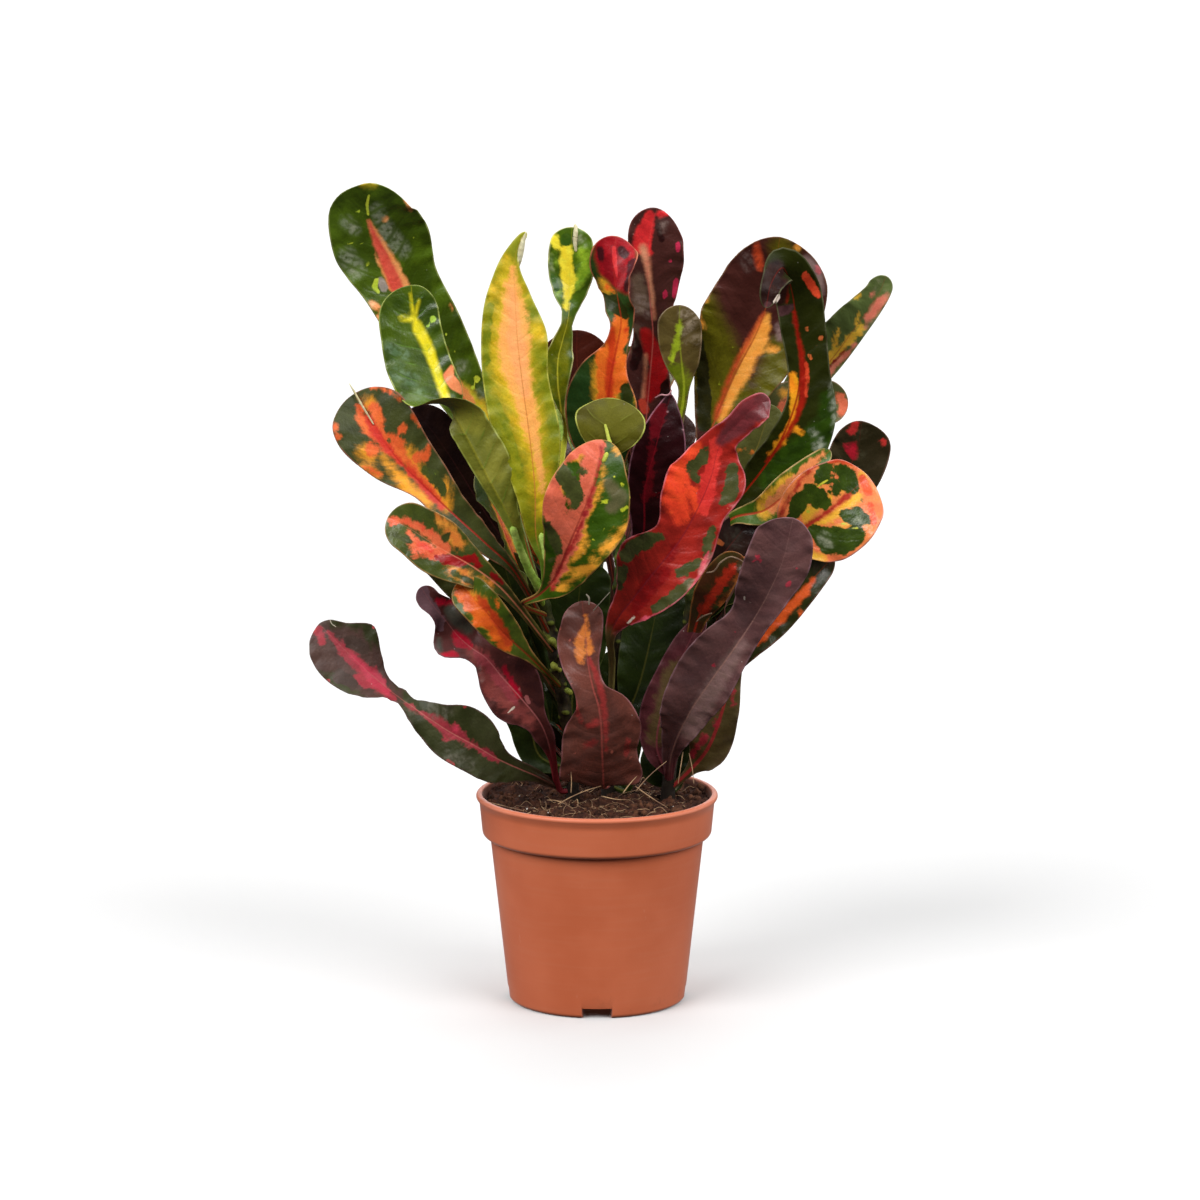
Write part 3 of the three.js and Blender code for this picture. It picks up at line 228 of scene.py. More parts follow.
# name, stem, height of the root, [azimuth, rise at root, rise at tip, swing] in degrees,
# [length, half-width, waist 0-1, twist deg], [tip rounding, fold, wave, waves, phase], and
# its look's number in BY_RULE
ROUND_LEAVES = [
    ["back_top_left", "back", 222, [128, 66, 74, -10], [106, 18, 0.3, 50], [12, 12, 1.6, 3, 0.2], 0],
    ["back_top_middle", "back", 226, [78, 72, 78, 10], [100, 18, 0.4, -70], [12, 12, 1.4, 3, 1.1], 1],
    ["back_top_right", "back", 216, [34, 62, 70, 14], [112, 18, 0.2, 50], [12, 12, 1.6, 3, 2.0], 3],
    ["back_high_left", "back", 206, [148, 56, 60, -10], [112, 18, 0.5, 60], [12, 12, 1.4, 4, 0.6], 2],
    ["back_high_middle", "back", 200, [98, 60, 66, -8], [92, 19, 0.2, -40], [13, 14, 1.8, 3, 1.5], 0],
    ["back_high_right", "back", 192, [54, 52, 60, -16], [100, 18, 0.5, 90], [11, 12, 1.4, 4, 0.9], 4],
    ["back_mid_left", "back", 178, [128, 44, 56, 12], [92, 18, 0.3, -60], [12, 12, 1.6, 3, 2.4], 3],
    ["back_mid_middle", "back", 168, [80, 48, 68, 10], [80, 18, 0.3, -40], [12, 12, 1.6, 3, 1.1], 2],
    ["back_mid_right", "back", 160, [38, 44, 54, 10], [96, 18, 0.4, 60], [12, 12, 1.6, 3, 0.1], 1],
    ["back_far_left", "back", 186, [166, 46, 50, -8], [96, 16, 0.4, 80], [10, 12, 1.4, 3, 1.7], 4],
    ["back_low_left", "back", 136, [132, 38, 66, 10], [78, 16, 0.5, 120], [10, 12, 1.4, 3, 0.4], 1],
    ["back_low_middle", "back", 126, [96, 42, 68, -10], [74, 17, 0.5, -90], [10, 12, 1.6, 4, 1.2], 4],
    ["back_low_right", "back", 116, [50, 36, 64, 8], [80, 16, 0.5, 100], [10, 12, 1.4, 3, 2.1], 3],
    ["middle_back_left", "middle", 222, [120, 66, 80, 4], [80, 16, 0.3, -50], [11, 12, 1.4, 3, 0.8], 2],
    ["middle_back_right", "middle", 212, [46, 62, 72, 8], [90, 17, 0.4, 70], [11, 12, 1.4, 3, 1.9], 1],
    ["right_back_high", "right", 205, [66, 54, 62, 10], [98, 18, 0.3, -60], [12, 12, 1.6, 3, 0.3], 3],
    ["right_back_mid", "right", 180, [46, 40, 54, -12], [96, 18, 0.4, 80], [11, 12, 1.6, 3, 1.4], 0],
    ["right_back_low", "right", 138, [52, 38, 64, 10], [86, 16, 0.5, -90], [10, 12, 1.4, 3, 2.2], 4],
    ["right_side_mid", "right", 166, [22, 54, 66, -18], [92, 17, 0.4, -36], [11, 14, 1.6, 3, 2.6], 1],
    ["right_side_low", "right", 124, [14, 52, 72, 8], [78, 16, 0.4, 30], [10, 14, 1.4, 3, 1.2], 3],
    ["left_side_high", "left", 186, [178, 64, 74, -8], [92, 17, 0.3, -28], [12, 14, 1.6, 3, 0.9], 0],
    ["left_side_low", "left", 118, [178, 48, 68, -4], [76, 15, 0.4, 36], [10, 14, 1.4, 3, 2.2], 1],
    ["left_back_high", "left", 156, [140, 40, 60, -12], [80, 16, 0.4, 60], [10, 12, 1.4, 3, 0.5], 3],
    ["left_back_low", "left", 130, [136, 38, 62, 6], [82, 15, 0.5, -80], [10, 12, 1.4, 3, 1.3], 4],
]


# ---------------------------------------------------------------- curves and blades
def unit(v):
    return v / np.maximum(np.linalg.norm(v, axis=-1, keepdims=True), 1e-12)


def smooth(x):
    x = np.clip(x, 0, 1)
    return x * x * (3 - 2 * x)


def chord_lengths(rows):
    steps = np.linalg.norm(np.diff(np.asarray(rows, float)[:, :3], axis=0), axis=1)
    return np.concatenate(([0], np.cumsum(steps)))


def through(params, rows, at):
    """The smooth curve through rows of numbers, read at each value of at."""
    rows = np.asarray(rows, float)
    last = len(params) - 1
    lo, hi = np.maximum(np.arange(last + 1) - 1, 0), np.minimum(np.arange(last + 1) + 1, last)
    slope = (rows[hi] - rows[lo]) / (params[hi] - params[lo])[:, None]
    i = np.clip(np.searchsorted(params, at, "left") - 1, 0, last - 1)
    span = (params[i + 1] - params[i])[:, None]
    t = np.clip((at[:, None] - params[i][:, None]) / span, 0, 1)
    t2, t3 = t * t, t * t * t
    return (rows[i] * (2 * t3 - 3 * t2 + 1) + rows[i + 1] * (3 * t2 - 2 * t3)
            + slope[i] * span * (t3 - 2 * t2 + t) + slope[i + 1] * span * (t3 - t2))


def from_front(across, up, depth):
    """The point in mm that the eye sees at a place of its upright plane, at a depth."""
    a, b = across / EYE_SCALE, (up - EYE_UP) / EYE_SCALE
    reach = (depth + EYE_DISTANCE) / (PC + b * PS)
    return [EYE_ACROSS + a * reach, depth, EYE_HEIGHT + (b * PC - PS) * reach]


def on_sheet(points):
    """Where points in mm lie on the sheet that front leaves are drawn on."""
    x, y, z = points[..., 0], points[..., 1], points[..., 2]
    q = (z - EYE_HEIGHT) / (y + EYE_DISTANCE)
    b = (q * PC + PS) / (PC - q * PS)
    reach = (y + EYE_DISTANCE) / (PC + b * PS)
    across, up = (x - EYE_ACROSS) / reach * EYE_SCALE, EYE_UP + b * EYE_SCALE
    return SHEET_X + across / SHEET_UNIT, SHEET_Y - up / SHEET_UNIT


def stem_rows(name):
    """Lengths along a stem's axis, and its points with their radii."""
    axis, radii = STEMS[name]
    lengths = chord_lengths(axis)
    radius = radii[0] + (radii[1] - radii[0]) * lengths / lengths[-1]
    return lengths, np.column_stack((axis, radius))


STEM_READINGS = 2001


def stem_at_height(name, z):
    lengths, rows = stem_rows(name)
    points = through(lengths, rows, np.linspace(0, lengths[-1], STEM_READINGS))
    return points[min(np.searchsorted(points[:, 2], z), STEM_READINGS - 1)]


def front_rows(stem, height, stations):
    """A front leaf's rows: x, y, z, half-widths left and right in mm, and roll in degrees."""
    x, y, z = stem_at_height(stem, height)[:3]
    rows = [[x, y, z, PETIOLE_RADIUS, PETIOLE_RADIUS, stations[0][5]]]
    for sx, sy, drawn, left, right, roll in stations:
        depth = SHEET_NEAR + (drawn - SHEET_NEAR) * SHEET_BOW if drawn < SHEET_NEAR else drawn
        widths = [max(w * SHEET_UNIT, PETIOLE_RADIUS) for w in (left, right)]
        across, up = (sx - SHEET_X) * SHEET_UNIT, (SHEET_Y - sy) * SHEET_UNIT
        rows.append(from_front(across, up, depth) + widths + [roll])
    return rows


# The shares of a round leaf's length at which its petiole ends and its blade is full, and at
# which its waist lies; how far the waist reaches; and the steps that its course is walked in.
PETIOLE_END, SWELL, WAIST_AT, WAIST_REACH, COURSE_STEPS = 0.1, 0.3, 0.55, 0.13, 7


def round_rows(stem, height, course, size):
    """The same rows as front_rows for a leaf that follows the rule."""
    azimuth, rise, tip_rise, swing = course
    length, half, waist, twist = size
    p = stem_at_height(stem, height)[:3].copy()
    run, rows = length / COURSE_STEPS, []
    for i in range(COURSE_STEPS + 1):
        t = i / COURSE_STEPS
        swell = float(smooth((t - PETIOLE_END) / SWELL))
        pinch = 1 - waist * math.exp(-((t - WAIST_AT) / WAIST_REACH) ** 2)
        w = PETIOLE_RADIUS + (half * pinch - PETIOLE_RADIUS) * swell
        rows.append([*p, w, w, twist * t * t])
        up, around = math.radians(rise + (tip_rise - rise) * t), math.radians(azimuth + swing * t)
        p += run * np.array((math.cos(up) * math.cos(around), math.cos(up) * math.sin(around),
                             math.sin(up)))
    return rows


# Columns across one half of a blade, closer together at the midrib and at the margin.
HALF_COLUMNS = np.array((0, .03, .07, .13, .2, .28, .37, .46, .56, .66, .76, .85, .92, .97, 1))
# Rings along a blade: the step in mm, the least number, and those of the rounded tip.
RING_STEP, LEAST_RINGS, TIP_RINGS = 1.9, 12, 12
# Half the skin's thickness, the midrib's ridge below and groove above with their widths, in mm.
SKIN_HALF, RIDGE, RIDGE_WIDTH, GROOVE, GROOVE_WIDTH = 0.27, 0.75, 1.0, 0.22, 0.8
# Heights in mm of the cushions between veins and of the frilled margin, and the half-widths below
# which the waves and the fold grow less.
QUILT, FRILL, WAVY_HALF, FOLDED_HALF = 0.36, 0.6, 9, 6
# How far apart the side veins run, how they lean and curve, and how many cushions a side has.
VEIN_STEP, VEIN_LEAN, VEIN_CURVE, CUSHIONS, FIRST_CUSHION = 9.0, 0.5, 0.018, 60, 8
# The share of the length over which the round petiole fades into the blade.
PETIOLE_SHARE = 0.28


def vein_run(along, across):
    """Along the blade, but constant along each side vein, which leans toward the tip."""
    x = np.abs(across)
    return along - VEIN_LEAN * x - VEIN_CURVE * x * x


def ring_places(rows, rounding, facing):
    """A blade's rings: distances in mm, rows, normals, directions across, and the length."""
    lengths = chord_lengths(rows)
    total = lengths[-1]
    body = total - rounding
    tip = body + rounding * np.sin(np.linspace(0, math.pi / 2, TIP_RINGS))[1:]
    d = np.concatenate((np.linspace(0, body, max(LEAST_RINGS, int(body / RING_STEP))), tip))
    row = through(lengths, rows, d)
    ahead, behind = (through(lengths, rows, np.clip(d + s, 0, total)) for s in (0.5, -0.5))
    tangent = unit((ahead - behind)[:, :3])
    face = unit(facing - (tangent @ facing)[:, None] * tangent)
    side = np.cross(tangent, face)
    roll = np.radians(row[:, 5])[:, None]
    normal = face * np.cos(roll) + side * np.sin(roll)
    right = side * np.cos(roll) - face * np.sin(roll)
    return d, row, normal, right, total


def blade_lift(shape, half, d, ss, fade, total, local):
    """How far each point of the blade's middle sheet is lifted by its fold, waves and quilting."""
    fold, wave, waves, phase = shape
    small = np.minimum(1, half / WAVY_HALF)
    turns, shift = local.uniform(7, 11) * total / 100, local.uniform(0, 6.3, 4)
    dd = d[:, None] / total
    side_shift = np.where(ss > 0, 1.9, 0)
    ripple = wave * small * fade * ss ** 2 * np.sin(math.tau * waves * dd + phase + side_shift)
    frill = np.sin(math.tau * turns * dd + shift[0] + np.where(ss > 0, shift[1], 0))
    frill += 0.6 * np.sin(math.tau * 1.7 * turns * dd + shift[2] + np.where(ss > 0, shift[3], 0))
    ripple += FRILL * small * fade * np.abs(ss) ** 3 * frill
    lift = ((np.sqrt(ss ** 2 + 0.012) - 0.11) * half * math.sin(math.radians(fold))
            * np.minimum(1, half / FOLDED_HALF))
    veins = vein_run(d[:, None], ss * half)
    # the cushions between the side veins, each of its own height
    cell = np.clip(veins / VEIN_STEP + FIRST_CUSHION, 0, CUSHIONS - 1)
    heights = [np.interp(cell, np.arange(CUSHIONS), local.uniform(0.2, 1.5, CUSHIONS))
               for _ in range(2)]
    gain = np.where(ss < 0, heights[0], heights[1])
    quilt = (QUILT * gain * small * np.sin(math.tau * veins / VEIN_STEP) * np.sqrt(np.abs(ss))
             * (1 - ss ** 4))
    return lift + ripple + quilt


def blade(rows, shape, facing, seed):
    """The fine blade's rings of points and what its paint needs to know, in mm."""
    rounding, fold = shape[:2]
    d, row, normal, right, total = ring_places(rows, rounding, facing)
    past = np.maximum(0, d - (total - rounding)) / rounding
    taper = np.sqrt(np.maximum(0, 1 - past * past))
    halves = np.maximum(MIN_HALF_WIDTH * (1 - 0.5 * past)[:, None], row[:, 3:5] * taper[:, None])
    s = np.concatenate((-HALF_COLUMNS[:0:-1], HALF_COLUMNS))
    half = np.where(s[None, :] < 0, halves[:, :1], halves[:, 1:2])
    fade, ss = 1 - past[:, None], s[None, :]
    across = ss * half
    lift = blade_lift(shape[1:], half, d, ss, fade, total, np.random.default_rng(seed))
    base = (row[:, None, :3] + right[:, None] * (across * math.cos(math.radians(fold)))[..., None]
            + normal[:, None] * lift[..., None])
    petiole = np.maximum(0, 1 - d / (PETIOLE_SHARE * total))[:, None]
    stalk = ((PETIOLE_RADIUS - SKIN_HALF) * petiole
             * np.sqrt(np.maximum(0, 1 - (across / PETIOLE_RADIUS) ** 2)))
    rib = (1 - d[:, None] / total) ** 0.7 * np.minimum(1, half / 4) * (1 - petiole) * fade
    upper = SKIN_HALF + stalk - GROOVE * rib * np.exp(-(across / GROOVE_WIDTH) ** 2)
    lower = SKIN_HALF + stalk + RIDGE * rib * np.exp(-(across / RIDGE_WIDTH) ** 2)
    thin = 1 - 0.35 * np.abs(ss) ** 6
    top = base + normal[:, None] * (upper * thin)[..., None]
    under = base - normal[:, None] * (lower * thin)[..., None]
    rim = right[:, None] * (0.8 * SKIN_HALF)
    rings = np.concatenate((top, base[:, -1:] + rim, under[:, ::-1], base[:, :1] - rim), axis=1)
    n = len(s)
    order = np.concatenate((np.arange(n), [n - 1], np.arange(n)[::-1], [0]))
    is_under = np.concatenate((np.zeros(n), [0.5], np.ones(n), [0.5]))
    along = np.repeat(d[:, None], len(order), axis=1)
    across, half = across[:, order], half[:, order]
    margin = np.minimum(half - np.abs(across), (total - along) * 0.9 + 0.05)
    return {"rings": rings, "along": along, "across": across, "margin": margin,
            "half": half, "under": np.repeat(is_under[None], len(d), axis=0), "total": total}


# ---------------------------------------------------------------- meshes
def circle(sides):
    return np.arange(sides) * math.tau / sides


def ring_faces(count, size):
    """The quads of a tube of count rings, each of size points."""
    r, i = np.meshgrid(np.arange(count - 1), np.arange(size), indexing="ij")
    a, b = r * size + i, r * size + (i + 1) % size
    return np.stack((a, b, b + size, a + size), axis=-1).reshape(-1, 4)


def end_faces(count, size, base=0):
    """The two faces that close such a tube."""
    return [range(base + size - 1, base - 1, -1),
            range(base + (count - 1) * size, base + count * size)]


def mesh_object(name, points, quads, others=()):
    """A mesh from points in mm, with every face smooth; others are faces of any size."""
    mesh = bpy.data.meshes.new(name)
    faces = [tuple(q) for q in np.asarray(quads).tolist()] + [tuple(f) for f in others]
    mesh.from_pydata((points.reshape(-1, 3) * MM).tolist(), [], faces)
    mesh.polygons.foreach_set("use_smooth", np.ones(len(mesh.polygons), bool))
    mesh.update()
    obj = bpy.data.objects.new(name, mesh)
    bpy.context.scene.collection.objects.link(obj)
    return obj


def tubes_object(name, tubes):
    """Closed tubes joined in one mesh, each an array of rings of points in mm."""
    points, quads, ends, base = [], [], [], 0
    for rings in tubes:
        count, sides = rings.shape[:2]
        points.append(rings.reshape(-1, 3))
        quads.append(ring_faces(count, sides) + base)
        ends += end_faces(count, sides, base)
        base += count * sides
    return mesh_object(name, np.concatenate(points), np.concatenate(quads), ends)


def dress(obj, material, node):
    """One material for the object, and what the frame has to know of it."""
    obj.data.materials.append(material)
    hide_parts(node)
    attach(obj, "root")


def give(obj, name, *columns):
    """Three numbers at each point, which the material reads by this name."""
    data = np.stack([np.asarray(c, float).reshape(-1) for c in columns], axis=-1)
    layer = obj.data.attributes.new(name, "FLOAT_VECTOR", "POINT")
    layer.data.foreach_set("vector", data.astype(np.float32).ravel())


# ---------------------------------------------------------------- painted strokes
OUTSIDE = -9.0  # mm: the field's value far from every stroke


def knots_of(text):
    return np.array([[float(v) for v in knot.split()] for knot in text.split(",")])


def along_rib(knots, along, across):
    t, total = along / along.max(), along.max()
    left, right = (np.interp(t, knots[:, 0], knots[:, k]) for k in (1, 2))
    inside = np.where(across < 0, left, right) - np.abs(across)
    return np.minimum(inside, np.minimum(t - knots[0, 0], knots[-1, 0] - t) * total)


def on_stroke(knots, x, y):
    inside = np.full(x.shape, OUTSIDE / SHEET_UNIT)
    ends = knots[1:] if len(knots) > 1 else knots
    for (ax, ay, ar), (bx, by, br) in zip(knots, ends):
        dx, dy = bx - ax, by - ay
        t = np.clip(((x - ax) * dx + (y - ay) * dy) / max(dx * dx + dy * dy, 1e-9), 0, 1)
        away = np.hypot(x - ax - t * dx, y - ay - t * dy)
        inside = np.maximum(inside, (ar + (br - ar) * t - away))
    return inside * SHEET_UNIT


def stroke_field(text, along, across, under, sheet):
    """How far inside the strokes each point lies, in mm. Strokes are "x y r, x y r; ..." on the
    sheet, or "rib t left right, ..." along the midrib, for both skins or one named first."""
    field = np.full(along.shape, OUTSIDE)
    for line in filter(None, (part.strip() for part in text.split(";"))):
        keep = np.ones(along.shape, bool)
        for word, chosen in (("under", under > 0.5), ("upper", under <= 0.5)):
            if line.startswith(word):
                line, keep = line[len(word):].strip(), chosen
        if line.startswith("rib"):
            inside = along_rib(knots_of(line[3:]), along, across)
        else:
            inside = on_stroke(knots_of(line), *sheet)
        field = np.maximum(field, np.where(keep, inside, OUTSIDE))
    return field


# ---------------------------------------------------------------- the leaves' looks
# blade, under: two colours of the skins. rib: colour and half-width in mm. vein, edge, stalk: a
# colour. wash, band, core, blot, head, mark, spot, sheen and fleck are painted in that order: two
# colours, then strokes. sheen is a painted highlight: pale gloss patches between the veins. show:
# how strongly the paint shows on the lower skin, and rib_under the rib. rib_end: the share of the
# length at which the rib fades. matte: 0 glossy to 1 dusty. calm scales the raggedness of the
# paint's edges in LAYERS and soft their blending. rough: the skin's roughness. shine scales how
# strongly it mirrors the lights.
LOOKS = {
    "broad_upper": {
        "blade": "34480a 4a6410", "under": "66702c 7d8638", "rib": "c23c34 0.35", "edge": "9aa05a",
        "rib_end": 0.86, "calm": 0.4,
        "wash": ("e2b82c c4bd30", "464 386 3, 472 398 5, 480 408 6, 486 420 6, 492 434 4;"
                 " 482 402 3; 362 184 2, 374 185 2"),
        "band": ("f0a468 ee9858", "368 219 1, 375 233 3.5, 383 249 5.5, 391 265 7, 400 284 8.5,"
                 " 404 291 8; 376 255 1.5, 381 266 1.5, 392 288 3, 404 292 5, 426 330 8,"
                 " 446 366 6, 454 382 6, 464 393 5, 472 404 4; 405 199 1.5, 411 210 2;"
                 " 373 304 4, 379 309 3; 378 318 3;"
                 " 385 219 3; 440 346 3, 445 349 3; 450 305 1.5, 452 309 1.5"),
        "core": ("dc5c4c d04c40", "368 219 1, 373 233 2.8, 380 249 4.6, 387 264 5.6, 395 283 6.8,"
                 " 399 292 6, 424 330 5, 446 368 3.5, 453 380 3, 459 389 1.5"),
        "mark": ("8a8682 9c9490", "381 281 4, 384 288 4"),
        "spot": ("c2d040 aac43a", "368 215 1.2, 367 205 1.4, 369 195 1; 357 211 2, 362 215 1.5;"
                 " 347 243 1.5; 366 244 1.5; 348 243 0.6, 364 244 0.6; 366 265 2, 371 262 1.2;"
                 " 377 280 2.5, 374 287 2.5, 378 292 2; 477 379 3.5; 473 388 2.5; 446 334 1.8;"
                 " 454 351 1.6; 415 237 2"),
        "sheen": ("8e9a88 a4ac9c", "346 222 6, 354 229 6; 377 210 6, 384 226 7, 392 240 9,"
                  " 404 250 7; 347 256 8, 357 270 8; 462 368 7; 448 378 5; 482 394 4"),
    },
    "yellow_rib": {
        "blade": "2e4406 465e0a", "under": "62681c 80822c", "rib": "e0d41e 0.5", "edge": "b4bd5c",
        "vein": "5c8a24", "stalk": "86a63a", "show": 0.1, "calm": 0.2, "soft": 1.8, "rib_under": 0.1,
        "band": ("e4d81c ccc81e", "upper 452 414 3.4, 443 390 4.2, 434 364 4.8, 427 345 5.4,"
                 " 419 330 5.6, 415 320 3; upper 401 318 2.4, 412 319 3;"
                 " upper 410 294 0.6, 413 312 1.2; upper 419 300 0.6, 416 312 1"),
        "mark": ("ee9468 e6845c", "upper 452 367 2.5, 448 376 5, 455 385 5.5, 462 391 3.5"),
        "spot": ("a4c844 8fba40", "upper 433 319 3.5; upper 428 326 2"),
        "sheen": ("5a7a5a 749078", "upper 392 348 7, 402 356 8; upper 396 374 6, 412 380 7;"
                  " upper 420 394 6"),
    },
    "yellow_centre": {
        "blade": "888c14 667610", "under": "8e9a34 a0a840", "rib": "c07838 0.2", "edge": "b9b44c",
        "stalk": "86a63a", "soft": 3.0, "rough": 0.4,
        "wash": ("deb41c e4c42a", "506 258 2, 507 272 5, 510 290 10, 508 320 14, 510 345 17,"
                 " 513 372 17, 520 400 14, 527 424 12, 533 448 8, 539 480 6, 543 512 4;"
                 " 536 330 6, 543 338 4; 494 288 4, 492 297 3; 488 328 3"),
        "band": ("f4b060 f6a85a", "512 270 2.5, 512 290 7.5, 514 315 13, 514 340 16, 515 362 15,"
                 " 521 388 12, 527 410 10, 531 428 8, 536 448 5, 540 470 3.5, 543 492 2.5"),
        "core": ("f6ac6c f4a468", "512 290 3, 515 336 8, 519 362 8, 525 395 5"),
        "blot": ("8a8e16 6e7c10", "543 290 3, 541 302 4, 543 316 4; 490 306 4, 488 318 4,"
                 " 487 345 3, 487 362 3; 546 352 3, 546 366 3; 498 405 3, 505 425 4, 512 445 4,"
                 " 520 475 4"),
        "mark": ("e9e6c8 dcd8a8", "519 260 2, 521 248 2.5, 525 236 2"),
    },
    "bright_twist": {
        "blade": "4c6e0e 3a560a", "under": "76800e 8c942c", "rib": "c8c83c 0.3", "edge": "e4e09a",
        "stalk": "c8c83a", "calm": 0.7,
        "wash": ("90b82e 70a01e", "583 252 6, 584 268 6, 577 284 4; 556 264 3; 558 293 3; 553 252 2"),
        "band": ("f8ea44 f2de34", "567 250 6, 566 262 7.5, 569 280 6.5, 568 296 4.5, 566 308 2.5;"
                 " 554 239 5, 556 246 4"),
        "blot": ("2f5410 3c5c14", "566 240 6; 553 278 4, 556 288 4; 588 291 3"),
        "head": ("5a6a08 78800c", "567 322 5, 560 340 10, 556 356 13, 557 374 13,"
                 " 560 392 8"),
        "sheen": ("b4c0a4 a8b49a", "580 240 4, 585 244 3; 550 256 1.5, 551 270 1.5"),
    },
    "orange_left": {
        "blade": "3f4620 343b1c", "under": "7a7a34 8a853e", "rib": "9c2018 0.4", "edge": "a0604c",
        "rough": 0.38, "soft": 1.6,
        "wash": ("f0a42c e89a2a", "364 452 6, 370 458 5; 384 458 3, 398 474 5, 412 492 6, 430 504 5;"
                 " 408 452 5, 412 466 5, 424 480 5, 436 494 5, 446 506 4; 446 482 1.5, 448 500 1.5;"
                 " 370 404 4; 364 464 2, 378 474 2"),
        "band": ("e06c34 d25a2c", "358 406 4, 362 418 6, 372 428 8, 384 440 8, 396 450 8, 408 464 5,"
                 " 420 478 4, 432 492 4, 442 506 3; 374 408 5, 380 420 5; 390 438 6, 400 446 6;"
                 " 372 450 7; 415 458 4, 425 455 4, 428 450 3; 402 430 4, 405 426 3; 372 387 2,"
                 " 382 388 1.5, 394 394 2, 400 400 2; 334 426 2, 338 438 2.5; 380 474 3, 366 467 2;"
                 " 416 417 3, 419 424 2.5"),
        "core": ("c02e24 c63824", "366 414 2, 372 426 4, 379 438 5, 388 449 4, 400 462 3, 412 474 3,"
                 " 426 489 3, 441 507 3"),
        "blot": ("3c4620 46501e", "424 470 4, 432 474 6, 440 484 5, 444 494 3; 389 440 2.2"),
        "spot": ("8cac30 7c9c2c", "435 473 2"),
    },
    "rolled_left": {
        "blade": "46521c 3c4820", "under": "76762e 86803a", "rib": "e88c70 0.3", "edge": "b08450",
        "wash": ("dc8038 e0983c", "446 524 6, 452 536 7, 462 546 6; 440 520 5; 450 568 3, 470 580 4,"
                 " 490 584 3"),
        "band": ("e2704a dc5e3e", "392 521 4, 404 520 4, 420 527 5, 434 538 6, 446 549 5;"
                 " 408 534 5, 418 546 8, 430 552 8, 440 556 5; 415 553 5"),
        "core": ("d8382c e0503c", "424 529 3; 420 544 3, 430 550 3"),
        "blot": ("8c0e12 9c1416", "436 557 3, 446 560 5, 462 561 5, 474 556 4, 478 566 3;"
                 " 492 574 3, 502 582 2"),
        "mark": ("3c4420 4a5426", "392 533 3, 404 537 5, 410 541 3; 445 538 4, 449 533 2; 457 549 3;"
                 " 466 549 4, 470 546 2; 454 573 3, 462 577 2, 478 585 4"),
    },
    "red_low_left": {
        "blade": "3c5010 4c5c18", "under": "6e6a2c 7a7434", "rib": "8c2810 0.35", "edge": "b07848",
        "wash": ("dc9030 d88428", "462 588 7, 474 600 8, 484 614 10, 492 628 9; 496 602 4"),
        "band": ("d8641c c85418", "460 592 6, 470 602 7, 484 616 8, 496 632 7, 506 646 6;"
                 " 494 600 4, 498 606 3; 478 622 5"),
        "core": ("a83414 b8401a", "478 596 2.5, 490 610 4, 500 626 5, 508 642 4"),
    },
    "dark_under_left": {"blade": "2e3416 3a401c", "under": "3a2c20 44362a", "rib": "7a4030 0.4",
                        "edge": "5a4a30"},
    "corkscrew_left": {
        "blade": "44201f 582c2c", "under": "60383c 6c4448", "rib": "b4686c 0.25", "edge": "7a4a50",
        "stalk": "7a2028", "matte": 0.15, "rough": 0.36,
        "wash": ("8c4442 7c3a3a", "474 652 8, 484 668 11, 494 684 12, 506 698 9, 518 708 7, 530 722 4"),
        "band": ("9c424c 8e3a44", "478 654 5, 490 668 7, 500 680 6, 508 690 4, 516 702 3"),
        "core": ("b41030 a40e2c", "439 602 4.5, 450 603 3; 456 634 4, 462 642 7, 470 645 4;"
                 " 442 655 3, 454 654 4; 504 668 2.5, 512 684 2.5, 520 696 3"),
        "blot": ("6e505c 644854", "419 586 8, 422 598 9, 430 610 9, 438 620 7, 441 628 4"),
        "head": ("40403a 4a463e", "450 610 6, 458 620 8, 468 628 6; 439 640 3, 440 650 3"),
        "mark": ("3a1a1c 44201f", "524 668 9, 532 684 9, 540 700 7"),
        "spot": ("b0686c a86064", "508 656 1.6; 520 690 2; 526 697 2, 529 702 2"),
        "sheen": ("a89090 b8a0a0", "479 670 2.5, 481 678 2"),
        "fleck": ("e6dcd4 d8ccc4", "508 714 1.1, 514 707 1.1; 540 697 1.5"),
    },
    "corkscrew_far_left": {
        "blade": "2b3016 363a20", "under": "3e2c28 4a3632", "rib": "a8605c 0.2", "edge": "5c403a",
        "stalk": "4c3024", "matte": 0.2, "rough": 0.36,
        "wash": ("44302c 4e3a36", "316 626 12, 330 650 24, 344 650 24, 360 664 24, 376 684 18,"
                 " 392 696 10"),
        "band": ("8c2c3a 983440", "318 630 5, 322 642 4; 330 634 3, 340 646 5, 350 656 7, 362 668 8,"
                 " 374 680 9, 384 690 6, 392 698 4; 364 680 6, 358 678 4; 408 706 1.6, 428 716 3,"
                 " 446 728 6, 462 736 6, 470 744 3.5, 484 751 2.5, 498 761 2; 446 737 3"),
        "core": ("ac3048 b43850", "352 656 2.5, 364 668 4, 378 682 5, 388 692 3; 455 729 2.5"),
        "blot": ("3b2d28 443530", "352 642 7, 366 650 6; 340 676 8, 352 684 5"),
        "spot": ("a83a40 9c3238", "374 627 2; 358 635 1.6; 328 681 2.5; 448 761 2.5, 454 765 1.5;"
                 " 464 706 2.5; 314 630 3"),
        "sheen": ("66665c 74746a", "430 710 5, 445 714 5; 450 756 6, 470 764 5; 404 704 3, 412 712 3"),
    },
    "orange_front": {
        "blade": "2c4a02 385608", "under": "4a2214 56301c", "rib": "8c2420 0.45", "edge": "c08a50",
        "rough": 0.34,
        "wash": ("f0a838 e8a034", "550 480 5, 560 486 5; 603 470 3, 600 490 2.5, 590 508 2.5,"
                 " 584 525 2.5, 583 543 3, 577 552 3, 570 562 3, 562 575 2.5; 632 522 2.6, 620 533 3,"
